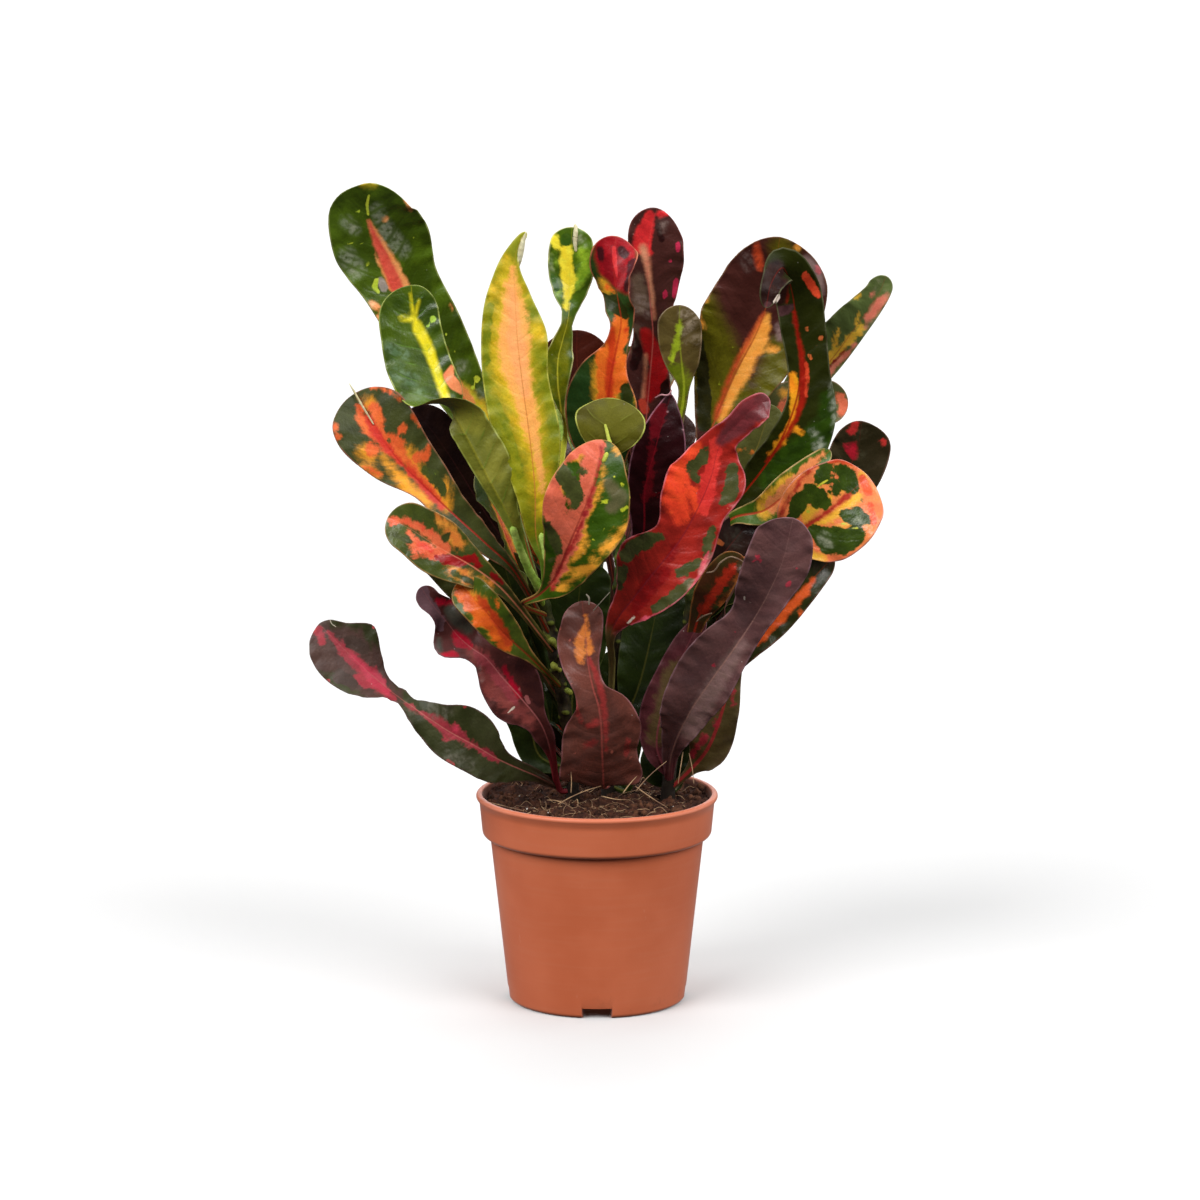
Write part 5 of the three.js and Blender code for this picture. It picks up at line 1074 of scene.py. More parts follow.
def leaf_material(name, look, seed, total):
    look = {**PLAIN_LOOK, **look}
    n = Nodes(name)
    along, across, veins = n.split("run")
    painted = n.split("paint_a") + n.split("paint_b") + n.split("paint_c")
    under, stalk, margin = n.split("skin")
    flat = n.join(along, across, float(seed))
    streaky = n.join(n.times(veins, 0.2), n.times(across, 0.05), seed + 0.5)
    streak = n.math("SUBTRACT", n.noise(streaky, STREAKS, 4.0, 0.62), 0.5)
    even = n.math("SUBTRACT", n.noise(flat, CLOUDS, 4.0, 0.62), 0.5)
    broad, fine = n.noise(flat, TONES, 2.0), n.noise(flat, GRAIN, 2.0)
    off, vein, groove = vein_masks(n, flat, veins, margin)
    matte, shine, gloss = look["matte"], look["shine"], look["rough"] + 0.16 * look["matte"]

    # the blade's own two tones on each skin, then the painted layers
    tone = n.step(n.math("ADD", broad, n.times(streak, 0.35)), 0.36, 0.66)
    top = n.mix(tone, *map(lively, look["blade"].split()))
    low = n.mix(tone, *map(lively, look["under"].split()))
    cover = n.math("SUBTRACT", 1.0, n.times(under, 1.0 - look["show"]))
    paint = n.mix(under, top, low)
    paint = paint_layers(n, paint, look, painted, cover, streak, even, flat, off)

    # the veins' colour, midrib, margin, stalk and grain
    if "vein" in look:
        paint = n.veil(paint, vein, 0.4, look["vein"])
    else:
        paint = n.mix(n.times(vein, PLAIN_VEIN), paint, VEIN_BROWN)
    rib = rib_mask(n, look, along, across, under, total)
    paint = n.mix(rib, paint, lively(look["rib"].split()[0]))
    rimmed = n.times_plus(n.step(n.noise(flat, MARGINS, 2.0), 0.35, 0.6), 0.45, 0.2)
    paint = n.mix(n.times(n.step(margin, 0.7, 0.3), rimmed), paint, colour(look["edge"]))
    if "stalk" in look:
        paint = n.mix(stalk, paint, colour(look["stalk"]))
    paint = n.mix(n.times(n.step(fine, 0.3, 0.8), GRAIN_DARK), paint, BLACK)

    # dust: a pale veil in patches and a few white specks
    if matte:
        paint = n.veil(paint, n.step(n.noise(flat, DUST, 3.0), 0.4, 0.75), 0.2 * matte, "8e7470")
    cells = n.add("TexVoronoi", out=0, Vector=flat, Scale=SPECK_CELLS)
    specks = n.times(n.step(cells, 0.055, 0.035), n.step(n.noise(flat, SPECKS, 1.0), 0.56, 0.6))
    paint = n.veil(paint, specks, 0.2 + 0.4 * matte, "d8cfc4")

    # roughness over the tones, the lower skin and the streaks; relief of grooves and cushions
    rough = n.times_plus(broad, 0.14, gloss)
    rough = n.times_plus(under, 0.16, rough)
    rough = n.times_plus(streak, 0.12, rough)
    relief = n.times(groove, n.times_plus(under, 0.9, -0.3))
    relief = n.times_plus(n.noise(flat, 0.8, 3.0), 0.7, relief)
    cushion = n.add("TexVoronoi", {"feature": "SMOOTH_F1"}, out=0, Vector=flat, Scale=CUSHION_CELLS)
    relief = n.times_plus(cushion, -0.45, relief)
    bump = n.add("Bump", Height=relief, Strength=0.5, Distance=0.0005)
    return n.finish(Base_Color=paint, Roughness=rough, Normal=bump,
                    Specular_IOR_Level=shine * max(0.15, 0.42 - 1.2 * (gloss - 0.2)),
                    Coat_Weight=shine * (0.04 if gloss > 0.33 else 0.14), Coat_Roughness=0.22)


# ---------------------------------------------------------------- leaves
# The stalk's colour: up to this half-width, fading over this many mm, and up to this share.
STALK_HALF, STALK_FADE, STALK_END = 1.4, 3.0, 0.55
FIRST_SEED = 12


def grow_leaf(name, stem, rows, shape, facing, look, seed):
    b = blade(rows, shape, facing, seed)
    count, size = b["rings"].shape[:2]
    obj = mesh_object("leaf_" + name, b["rings"], ring_faces(count, size), end_faces(count, size))
    along, across, under = b["along"], b["across"], b["under"]
    where = along, across, under, on_sheet(b["rings"])
    unpainted = np.full(along.shape, OUTSIDE)
    fields = [stroke_field(look[layer][1], *where) if layer in look else unpainted
              for layer in LAYERS]
    give(obj, "run", along, across, vein_run(along, across))
    for group, first in (("paint_a", 0), ("paint_b", 3), ("paint_c", 6)):
        give(obj, group, *fields[first:first + 3])
    stalk = (smooth(1 - (b["half"] - STALK_HALF) / STALK_FADE)
             * smooth((STALK_END - along / b["total"]) / 0.1))
    give(obj, "skin", under, stalk, b["margin"])
    material = leaf_material("leaf_" + name, look, seed, b["total"])
    dress(obj, material, "leafy_stem_" + stem)


for seed, (name, stem, height, shape, stations) in enumerate(FRONT_LEAVES, FIRST_SEED):
    rows = front_rows(stem, height, stations)
    grow_leaf(name, stem, rows, shape, TO_EYE, LOOKS.get(name, DARK_GREEN), seed)
for seed, row in enumerate(ROUND_LEAVES, FIRST_SEED + len(FRONT_LEAVES)):
    name, stem, height, course, size, shape, look = row
    rows = round_rows(stem, height, course, size)
    grow_leaf(name, stem, rows, shape, UP, BY_RULE[look], seed)


# ---------------------------------------------------------------- stems
STEM_RINGS, STEM_SIDES, STEM_TIP = 190, 28, 3
# Collars and scars stand on the leaves' heights above this one: a collar's lift, drop and reach in
# mm; a scar's lift and reach; and each scar's drop in mm, turn in radians and size.
BARE_HEIGHT, LEAF_TURN = 140, 2.4
COLLAR, COLLAR_DROP, COLLAR_REACH, SCAR, SCAR_REACH = 0.5, 2, 2.2, 1.1, 1.9
SCARS = (9, 2.4, 1.0), (16, 4.9, 0.8)


def stem_material():
    n = Nodes("stem_bark")
    around, height, knob = n.split("bark")
    place = n.place()
    mottle = n.noise(place, 260.0, 4.0, 0.65)
    lines = n.noise(n.join(n.times(around, 3.0), n.times(height, 0.12), 0.0), 1.0, 3.0)
    young = n.step(height, 185.0, 230.0)
    bark = n.mix(n.step(mottle, 0.35, 0.68), colour("1c150c"), colour("3a2e1a"))
    green = n.mix(n.step(mottle, 0.3, 0.7), colour("34480f"), colour("566e20"))
    greened = n.math("MINIMUM", n.times_plus(lines, 0.4, n.math("SUBTRACT", young, 0.2)), 1.0)
    base = n.mix(greened, bark, green)
    base = n.veil(base, n.step(knob, 0.45, 0.9), 0.7, "8a9638")
    base = n.veil(base, n.step(height, 124.0, 106.0), 0.85, "1a110b")
    relief = n.times_plus(lines, 0.7, mottle)
    bump = n.add("Bump", Height=relief, Strength=0.6, Distance=0.0006)
    rough = n.times_plus(mottle, 0.3, 0.5)
    return n.finish(Base_Color=base, Roughness=rough, Normal=bump, Specular_IOR_Level=0.25)


def grow_stem(stem, bark):
    lengths, rows = stem_rows(stem)
    d = np.linspace(0, lengths[-1], STEM_RINGS)
    row = through(lengths, rows, d)
    angle = circle(STEM_SIDES)
    z, radius = row[:, 2:3], row[:, 3:4]
    bulge, knob = np.zeros((2, STEM_RINGS, STEM_SIDES))
    heights = sorted(leaf[2] for leaf in FRONT_LEAVES + ROUND_LEAVES if leaf[1] == stem)
    for k, height in enumerate(h for h in heights if h > BARE_HEIGHT):
        # a collar under each leaf, and old leaves' scars a little lower on other sides
        bulge += COLLAR * np.exp(-((z - height + COLLAR_DROP) / COLLAR_REACH) ** 2)
        for drop, turn, size in SCARS:
            face = np.cos(angle - (k * LEAF_TURN + turn))[None, :]
            spot = np.exp(-((z - height + drop) / SCAR_REACH) ** 2) * np.clip(face, 0, 1) ** 3
            bulge += SCAR * size * spot
            knob = np.maximum(knob, spot * size)
    wobble = 0.12 * np.sin(angle * 3 + z * 0.21) + 0.1 * np.sin(angle * 2 - z * 0.13 + 1)
    past = np.clip((d - lengths[-1] + STEM_TIP) / STEM_TIP, 0, 1)
    close = np.sqrt(np.clip(1 - past ** 2, 0.02, 1))[:, None]
    r = (radius + bulge + wobble) * close
    x, y = row[:, 0:1] + r * np.cos(angle), row[:, 1:2] + r * np.sin(angle)
    z = np.repeat(z, STEM_SIDES, axis=1)
    points = np.stack((x, y, z), axis=-1)
    obj = mesh_object("stem_" + stem, points, ring_faces(STEM_RINGS, STEM_SIDES),
                      end_faces(STEM_RINGS, STEM_SIDES))
    give(obj, "bark", np.repeat(angle[None], STEM_RINGS, axis=0), z, knob)
    dress(obj, bark, "leafy_stem_" + stem)


stem_bark = stem_material()
for stem in STEMS:
    grow_stem(stem, stem_bark)


# ---------------------------------------------------------------- pot
BAND_FOOT, FLOOR_TOP = POT_HEIGHT - BAND_HEIGHT, FLOOR_LIFT + FLOOR_THICKNESS
POT_SIDES, DRAIN_SIDES, SHARP_DEGREES = 240, 32, 38
# A notch: half the radians that its side takes, how much of the foot's relief stays in its top,
# and the number of the profile's first points that it may move.
NOTCH_NUDGE, NOTCH_FLAT, OUTSIDE_POINTS = 0.002, 0.002, 60


def outer_radius(z):
    return FOOT_RADIUS + 1 + (BODY_TOP_RADIUS - FOOT_RADIUS - 1) * z / BAND_FOOT


def inner_radius(z):
    return outer_radius(z) - WALL


def arc(cx, cz, radius, start, end, steps):
    """Points of a profile, r and z in mm, on an arc between two angles in degrees."""
    angles = np.radians(np.linspace(start, end, steps + 1))
    return [[cx + radius * math.cos(a), cz + radius * math.sin(a)] for a in angles]


def line(start, end, steps):
    """The points between two points of a profile."""
    return [[a + (b - a) * i / steps for a, b in zip(start, end)] for i in range(1, steps)]


def pot_profile():
    """Round the wall from the axis under the floor to the axis over it, in mm."""
    bead = BEAD_HEIGHT / 2
    foot_in = FOOT_RADIUS - FOOT_RING
    corner = arc(FOOT_RADIUS - FOOT_CORNER + 0.3, FOOT_CORNER, FOOT_CORNER, -90, -6, 10)
    top_of_body = [outer_radius(BAND_FOOT) + 0.1, BAND_FOOT - 0.9]
    under_band = arc(top_of_body[0] + 0.9, BAND_FOOT - 0.9, 0.9, 180, 90, 4)
    shoulder = arc(BAND_LOW_RADIUS - SHOULDER, BAND_FOOT + SHOULDER + 0.1, SHOULDER, -88, 0, 9)
    neck = [BAND_TOP_RADIUS, POT_HEIGHT - BEAD_HEIGHT - 1.2]
    lip = arc(RIM_RADIUS - bead, POT_HEIGHT - bead, bead, -22, 90, 12)
    lip_in = arc(BAND_TOP_RADIUS - WALL + 0.7, POT_HEIGHT - 0.7, 0.7, 90, 180, 4)
    inside = [BAND_TOP_RADIUS - WALL - 0.2, POT_HEIGHT - BEAD_HEIGHT]
    step_in = [BAND_LOW_RADIUS - WALL, BAND_FOOT + 3.2]
    floor_edge = arc(inner_radius(FLOOR_TOP + 2) - 2, FLOOR_TOP + 2, 2, 0, -90, 5)
    return ([[0, FLOOR_LIFT]] + line([0, FLOOR_LIFT], [foot_in, FLOOR_LIFT], 6)
            + [[foot_in, FLOOR_LIFT], [foot_in + 0.3, 2.2], [foot_in + 0.6, 0]] + corner
            + line(corner[-1], top_of_body, 16) + [top_of_body] + under_band + shoulder
            + line(shoulder[-1], neck, 6) + [neck] + lip + lip_in + [inside]
            + line(inside, step_in, 4) + [step_in, [inner_radius(BAND_FOOT), BAND_FOOT]]
            + line([inner_radius(BAND_FOOT), BAND_FOOT], floor_edge[0], 8) + floor_edge
            + line(floor_edge[-1], [0, FLOOR_TOP], 4) + [[0, FLOOR_TOP]])


def from_notch(angle):
    """How far round, in radians, the nearest foot notch's middle is."""
    return min(abs((angle + math.pi / 2 - i * math.tau / NOTCHES + math.pi) % math.tau - math.pi)
               for i in range(NOTCHES))


def pot_angles(notch_half):
    """Even angles round the pot, and two close together at each side of each notch."""
    angles = list(np.linspace(0, math.tau, POT_SIDES + 1)[:-1])
    for i in range(NOTCHES):
        centre = -math.pi / 2 + i * math.tau / NOTCHES
        for edge in (-notch_half, notch_half):
            angles += [(centre + edge + nudge) % math.tau for nudge in (-NOTCH_NUDGE, NOTCH_NUDGE)]
    return sorted(angles)


def pot_object():
    profile = np.array(pot_profile())[1:-1]
    notch_half = math.asin(NOTCH_WIDTH / 2 / FOOT_RADIUS)
    rings = []
    for a in pot_angles(notch_half):
        r, z = profile[:, 0].copy(), profile[:, 1].copy()
        if from_notch(a) < notch_half:
            low = (z < NOTCH_HEIGHT) & (r >= FOOT_RADIUS - FOOT_RING - 0.1)
            low &= np.arange(len(z)) < OUTSIDE_POINTS
            z[low] = NOTCH_HEIGHT + (z[low] - NOTCH_HEIGHT) * NOTCH_FLAT
        rings.append(np.stack((r * math.cos(a), r * math.sin(a), z), axis=-1))
    count, size = len(rings), len(profile)
    middles = [[0, 0, FLOOR_LIFT], [0, 0, FLOOR_TOP]]
    points = np.concatenate((np.array(rings).reshape(-1, 3), middles))
    under, over = len(points) - 2, len(points) - 1
    quads, triangles = [], []
    for i in range(count):
        a, b = i * size, (i + 1) % count * size
        quads += [(a + k, b + k, b + k + 1, a + k + 1) for k in range(size - 1)]
        triangles += [(under, b, a), (over, a + size - 1, b + size - 1)]
    return mesh_object("pot_shell", points, quads, triangles)


def drill(pot):
    """Cuts the drain holes through the raised floor."""
    for i in range(DRAINS):
        a, ring = math.tau * (i + 0.5) / DRAINS, circle(DRAIN_SIDES)
        x, y = DRAIN_CIRCLE * math.cos(a), DRAIN_CIRCLE * math.sin(a)
        points = np.array([[[x + DRAIN_RADIUS * math.cos(t), y + DRAIN_RADIUS * math.sin(t), z]
                            for t in ring] for z in (FLOOR_LIFT - 2, FLOOR_TOP + 2)])
        size = 2, DRAIN_SIDES
        cutter = mesh_object("cutter", points, ring_faces(*size), end_faces(*size))
        modifier = pot.modifiers.new("hole", "BOOLEAN")
        modifier.operation, modifier.solver, modifier.object = "DIFFERENCE", "EXACT", cutter
        graph = bpy.context.evaluated_depsgraph_get()
        cut = bpy.data.meshes.new_from_object(pot.evaluated_get(graph))
        pot.modifiers.clear()
        pot.data = cut
        bpy.data.objects.remove(cutter)
    pot.data.name = "pot_shell"


# Soft steps, in metres: the lip, painted lighter as a highlight, the soiled foot, and the darkened
# inner face of the band, which lies inside a cone, below the lip and above the soil.
LIP, SOILED_FOOT = (0.1015, 0.104), (0.02, 0.0)
CONE_SLOPE, INSIDE_CONE = 0.066, (0.0513, 0.0509)
BELOW_LIP, ABOVE_SOIL = (0.1046, 0.1034), (0.096, 0.0985)


def pot_material():
    n = Nodes("pot_plastic")
    place = n.place()
    x, y, z = n.parts(place)
    cloud = n.noise(place, 22.0, 3.0, 0.55)
    grain = n.noise(place, 900.0, 2.0)
    around = n.math("ARCTAN2", y, x)
    brushed = n.noise(n.join(n.times(around, 1.5), n.times(z, 420.0), 0.0), 1.0, 2.0)
    body = n.mix(n.step(cloud, 0.3, 0.72), colour("c2623e"), colour("cc6c48"))
    body = n.veil(body, n.step(brushed, 0.45, 0.75), 0.12, "c87c5c")
    scuffs = n.noise(n.join(n.times(around, 9.0), n.times(z, 60.0), 3.0), 1.0, 4.0, 0.7)
    body = n.veil(body, n.step(scuffs, 0.66, 0.74), 0.2, "d49a80")
    from_axis = n.math("SQRT", n.times_plus(x, x, n.times(y, y)))
    # the lip painted lighter: a painted highlight
    body = n.veil(body, n.step(z, *LIP), 0.2, "cf8468")
    soiled = n.times(n.step(n.noise(place, 70.0, 4.0, 0.7), 0.58, 0.7), n.step(z, *SOILED_FOOT))
    body = n.veil(body, soiled, 0.25, "6e3c28")
    # the band's inner face above the soil, painted darker brown
    inner = n.times(n.step(n.times_plus(z, -CONE_SLOPE, from_axis), *INSIDE_CONE),
                    n.times(n.step(z, *BELOW_LIP), n.step(z, *ABOVE_SOIL)))
    inner_wall_dark = n.mix(n.step(cloud, 0.3, 0.7), colour("4a2a1e"), colour("6e3e2a"))
    body = n.mix(n.times(inner, 0.8), body, inner_wall_dark)
    relief = n.times_plus(brushed, 0.5, n.times(grain, 0.5))
    bump = n.add("Bump", Height=relief, Strength=0.25, Distance=0.00025)
    rough = n.times_plus(cloud, 0.14, 0.4)
    return n.finish(Base_Color=body, Roughness=rough, Normal=bump, Specular_IOR_Level=0.4,
                    Sheen_Weight=0.3, Sheen_Roughness=0.35)


pot = pot_object()
drill(pot)
pot.data.set_sharp_from_angle(angle=math.radians(SHARP_DEGREES))
pot.data.materials.clear()
dress(pot, pot_material(), "pot")


# ---------------------------------------------------------------- soil
# The grains of the peat: spacing in mm, height in mm and seed of each size. The heap towards the
# wall, in mm: its height, the radius where it starts and how far it takes to rise. The radius
# where the grains are flat, and how far they take to flatten.
GRAINS = (7.0, 2.6, 1), (3.2, 2.3, 2), (1.6, 1.5, 3), (0.9, 0.8, 4)
HEAP, HEAP_START, HEAP_REACH, GRAINS_END, GRAINS_FADE = 1.8, 38, 14, 58.5, 3
SOIL_SIDES, SOIL_RINGS = 300, 96
# How many crumbs and grains lie on the soil, and their least and greatest size in mm.
CRUMBS, PERLITE, FIBRES = (620, (0.5, 1.9)), (26, (0.35, 0.8)), 110
CRUMB_REACH, FIBRE_REACH, FIBRE_TURNS_BACK = 54.6, 50.0, 53.5


def soil_height(x, y):
    lumps = np.sin(x * 0.31 + 1.3) * np.cos(y * 0.27 - 0.6) + 0.5 * np.sin(x * 0.13 - y * 0.19)
    return SOIL_TOP + SOIL_BUMP * lumps - SOIL_FALL * (x * x + y * y)


def value_noise(x, y, scale, seed):
    """Smooth noise from 0 to 1 on a lattice of the given spacing in mm."""
    table = np.random.default_rng(seed).random((64, 64))
    u, v = x / scale + 100, y / scale + 100
    i, j = np.floor(u).astype(int), np.floor(v).astype(int)
    f, g = smooth(u - i), smooth(v - j)
    a, b = table[i % 64, j % 64], table[(i + 1) % 64, j % 64]
    c, d = table[i % 64, (j + 1) % 64], table[(i + 1) % 64, (j + 1) % 64]
    return (a * (1 - f) + b * f) * (1 - g) + (c * (1 - f) + d * f) * g


def soil_surface(x, y):
    grains = sum(height * (value_noise(x, y, spacing, seed) - 0.5)
                 for spacing, height, seed in GRAINS)
    heap = HEAP * smooth((np.hypot(x, y) - HEAP_START) / HEAP_REACH)
    return (soil_height(x, y) + heap
            + grains * smooth((GRAINS_END - np.hypot(x, y)) / GRAINS_FADE))


def soil_material(name, dark, light, fine_scale):
    n = Nodes(name)
    place = n.place()
    clumps = n.noise(place, 180.0, 4.0, 0.65)
    fine = n.noise(place, fine_scale, 3.0, 0.7)
    base = n.mix(n.step(clumps, 0.34, 0.7), colour(dark), colour(light))
    base = n.veil(base, n.step(fine, 0.6, 0.74), 0.5, "7c5238")
    base = n.veil(base, n.step(fine, 0.42, 0.3), 0.8, "150a07")
    relief = n.times_plus(fine, 0.6, clumps)
    bump = n.add("Bump", Height=relief, Strength=0.9, Distance=0.0012)
    rough = n.times_plus(fine, 0.12, 0.84)
    return n.finish(Base_Color=base, Roughness=rough, Normal=bump, Specular_IOR_Level=0.2)


def soil_body():
    gap = SOIL_CLEARANCE
    neck, top = BAND_LOW_RADIUS - WALL - gap - 0.2, BAND_TOP_RADIUS - WALL - gap - 0.8
    a = circle(SOIL_SIDES)
    walls = [(inner_radius(FLOOR_TOP) - 2 - gap, FLOOR_TOP + gap),
             (inner_radius(FLOOR_TOP + 2) - gap, FLOOR_TOP + 2 + gap),
             (inner_radius(BAND_FOOT) - gap, BAND_FOOT + gap), (neck, BAND_FOOT + 3.2 + gap)]
    rings = [(r * np.cos(a), r * np.sin(a), np.full(SOIL_SIDES, z)) for r, z in walls]
    for r in np.linspace(top, 0.4, SOIL_RINGS):
        x, y = r * np.cos(a), r * np.sin(a)
        rings.append((x, y, soil_surface(x, y)))
    count = len(rings)
    return mesh_object("soil_peat", np.array([np.stack(ring, axis=-1) for ring in rings]),
                       ring_faces(count, SOIL_SIDES), end_faces(count, SOIL_SIDES))


CORNERS = (1, 0, 0), (-1, 0, 0), (0, 1, 0), (0, -1, 0), (0, 0, 1), (0, 0, -1)
EIGHT_FACES = [(0, 2, 4), (2, 1, 4), (1, 3, 4), (3, 0, 4), (2, 0, 5), (1, 2, 5), (3, 1, 5), (0, 3, 5)]


def split_faces(verts, faces):
    """Each triangle in four, with the new corners on the unit sphere and added to verts."""
    middle, parts = {}, []
    for a, b, c in faces:
        mids = []
        for key in (tuple(sorted(pair)) for pair in ((a, b), (b, c), (c, a))):
            if key not in middle:
                middle[key] = len(verts)
                verts.append(unit(verts[key[0]] + verts[key[1]]))
            mids.append(middle[key])
        parts += [(a, mids[0], mids[2]), (mids[0], b, mids[1]), (mids[2], mids[1], c), tuple(mids)]
    return parts


def pebble(centre, size, local):
    """A lumpy crumb: an octahedron split twice and pushed in and out."""
    verts, faces = [np.array(v, float) for v in CORNERS], EIGHT_FACES
    for _ in range(2):
        faces = split_faces(verts, faces)
    points = np.array(verts)
    axes = local.uniform(0.6, 1.2, 3)
    waves = local.normal(0, 1.6, (3, 3))
    bumps = 1 + 0.16 * np.sin(points @ waves + local.uniform(0, 6, 3)).sum(axis=1)
    points = points * bumps[:, None] * axes * size
    turn = local.uniform(0, 6.28)
    c, s = math.cos(turn), math.sin(turn)
    points = points @ np.array(((c, -s, 0), (s, c, 0), (0, 0, 1)))
    return points + centre, np.array(faces)


def scatter(name, number, sizes, local, sink=0.3):
    """Crumbs strewn on the soil in one mesh; sink is the share of their size that it hides."""
    points, faces, base = [], [], 0
    for _ in range(number):
        r, a = CRUMB_REACH * math.sqrt(local.random()), local.uniform(0, math.tau)
        x, y = r * math.cos(a), r * math.sin(a)
        size = local.uniform(*sizes) * (0.6 + 0.8 * local.random() ** 3)
        z = float(soil_surface(np.array(x), np.array(y))) + size * (0.6 - sink)
        p, f = pebble(np.array((x, y, z)), size, local)
        points.append(p)
        faces.append(f + base)
        base += len(p)
    return mesh_object(name, np.concatenate(points), np.concatenate(faces))


def tube(path, radii, sides):
    """Rings round each point of a path in mm."""
    path = np.asarray(path, float)
    tangent = unit(np.gradient(path, axis=0))
    side = unit(np.cross(tangent, np.array((0.13, 0.21, 0.97))))
    up = np.cross(side, tangent)
    a = circle(sides)
    return (path[:, None] + side[:, None] * (np.cos(a) * radii[:, None])[..., None]
            + up[:, None] * (np.sin(a) * radii[:, None])[..., None])


def fibre_tube(path, radius):
    taper = np.interp(np.linspace(0, 1, len(path)), (0, 0.1, 0.8, 1), (0.6, 1, 0.85, 0.35))
    return tube(path, radius * taper, 6)


def lying_fibre(local):
    """A root fibre that wanders over the soil and rises a little somewhere."""
    r, a = FIBRE_REACH * math.sqrt(local.random()), local.uniform(0, math.tau)
    p, path = np.array((r * math.cos(a), r * math.sin(a))), []
    heading, bend = local.uniform(0, 6.28), local.normal(0, 0.09)
    length, count = local.uniform(5, 24), 14
    rise, crest = local.uniform(0, 2.6), local.uniform(0.2, 0.8)
    for i in range(count):
        if np.hypot(*p) > FIBRE_TURNS_BACK:
            heading += 0.9
        arch = rise * math.exp(-((i / (count - 1) - crest) / 0.3) ** 2)
        path.append([*p, float(soil_surface(*p)) + 0.3 + arch])
        heading += bend + local.normal(0, 0.16)
        p = p + length / count * np.array((math.cos(heading), math.sin(heading)))
    return fibre_tube(smooth_path(path), local.uniform(0.08, 0.22))


def smooth_path(path, count=28):
    path = np.asarray(path, float)
    for _ in range(2):
        path[1:-1] = sum(k * path[i:len(path) - 2 + i] for i, k in enumerate((0.25, 0.5, 0.25)))
    lengths = chord_lengths(path)
    return through(lengths, path, np.linspace(0, lengths[-1], count))


def fibre_material(name, dark, light):
    n = Nodes(name)
    place = n.place()
    tone = n.noise(place, 130.0, 3.0)
    streaks = n.noise(place, 1400.0, 2.0)
    base = n.mix(n.step(tone, 0.3, 0.7), colour(dark), colour(light))
    base = n.veil(base, n.step(streaks, 0.45, 0.75), 0.22, "4a3a20")
    bump = n.add("Bump", Height=streaks, Strength=0.4, Distance=0.0002)
    return n.finish(Base_Color=base, Roughness=n.times_plus(tone, 0.2, 0.6), Normal=bump)


local = np.random.default_rng(23)
dress(soil_body(), soil_material("soil_peat", "2a1610", "502e20", 620.0), "soil")
dress(scatter("soil_crumbs", *CRUMBS, local),
      soil_material("soil_crumbs", "22110b", "64402c", 800.0), "soil")
dress(scatter("soil_perlite", *PERLITE, local, sink=0.1),
      fibre_material("soil_perlite", "d8d0c4", "f2eee6"), "soil")
straws = [lying_fibre(local) for _ in range(FIBRES)]
# longer root fibres that show at the front edge, as [sheet x, sheet y, depth] at points along each
FRONT_FIBRES = [
    [[547, 800, -38], [556, 797, -40], [566, 804, -42], [573, 809, -43]],
    [[558, 804, -43], [572, 795, -36], [588, 789, -32], [601, 786, -30]],
    [[571, 793, -34], [573, 779, -34], [571, 772, -34]],
    [[636, 791, -38], [645, 777, -34], [656, 770, -32], [667, 761, -30]],
    [[623, 793, -38], [628, 784, -36], [637, 776, -33]],
    [[635, 786, -40], [650, 799, -44], [668, 808, -46]],
    [[683, 752, -16], [681, 764, -17], [678, 784, -18]],
    [[689, 753, -14], [694, 766, -16], [694, 784, -18]],
    [[480, 800, -12], [500, 805, -22], [524, 811, -34]],
    [[601, 796, -42], [616, 803, -46], [630, 800, -44]],
]


def from_sheet(points):
    """Points in mm from rows of sheet x, sheet y and depth."""
    return [from_front((x - SHEET_X) * SHEET_UNIT, (SHEET_Y - y) * SHEET_UNIT, depth)
            for x, y, depth in points]


straws += [fibre_tube(smooth_path(from_sheet(rows)), 0.26) for rows in FRONT_FIBRES]
dress(tubes_object("soil_fibres", straws), fibre_material("soil_fibres", "70503a", "b8946c"),
      "soil")


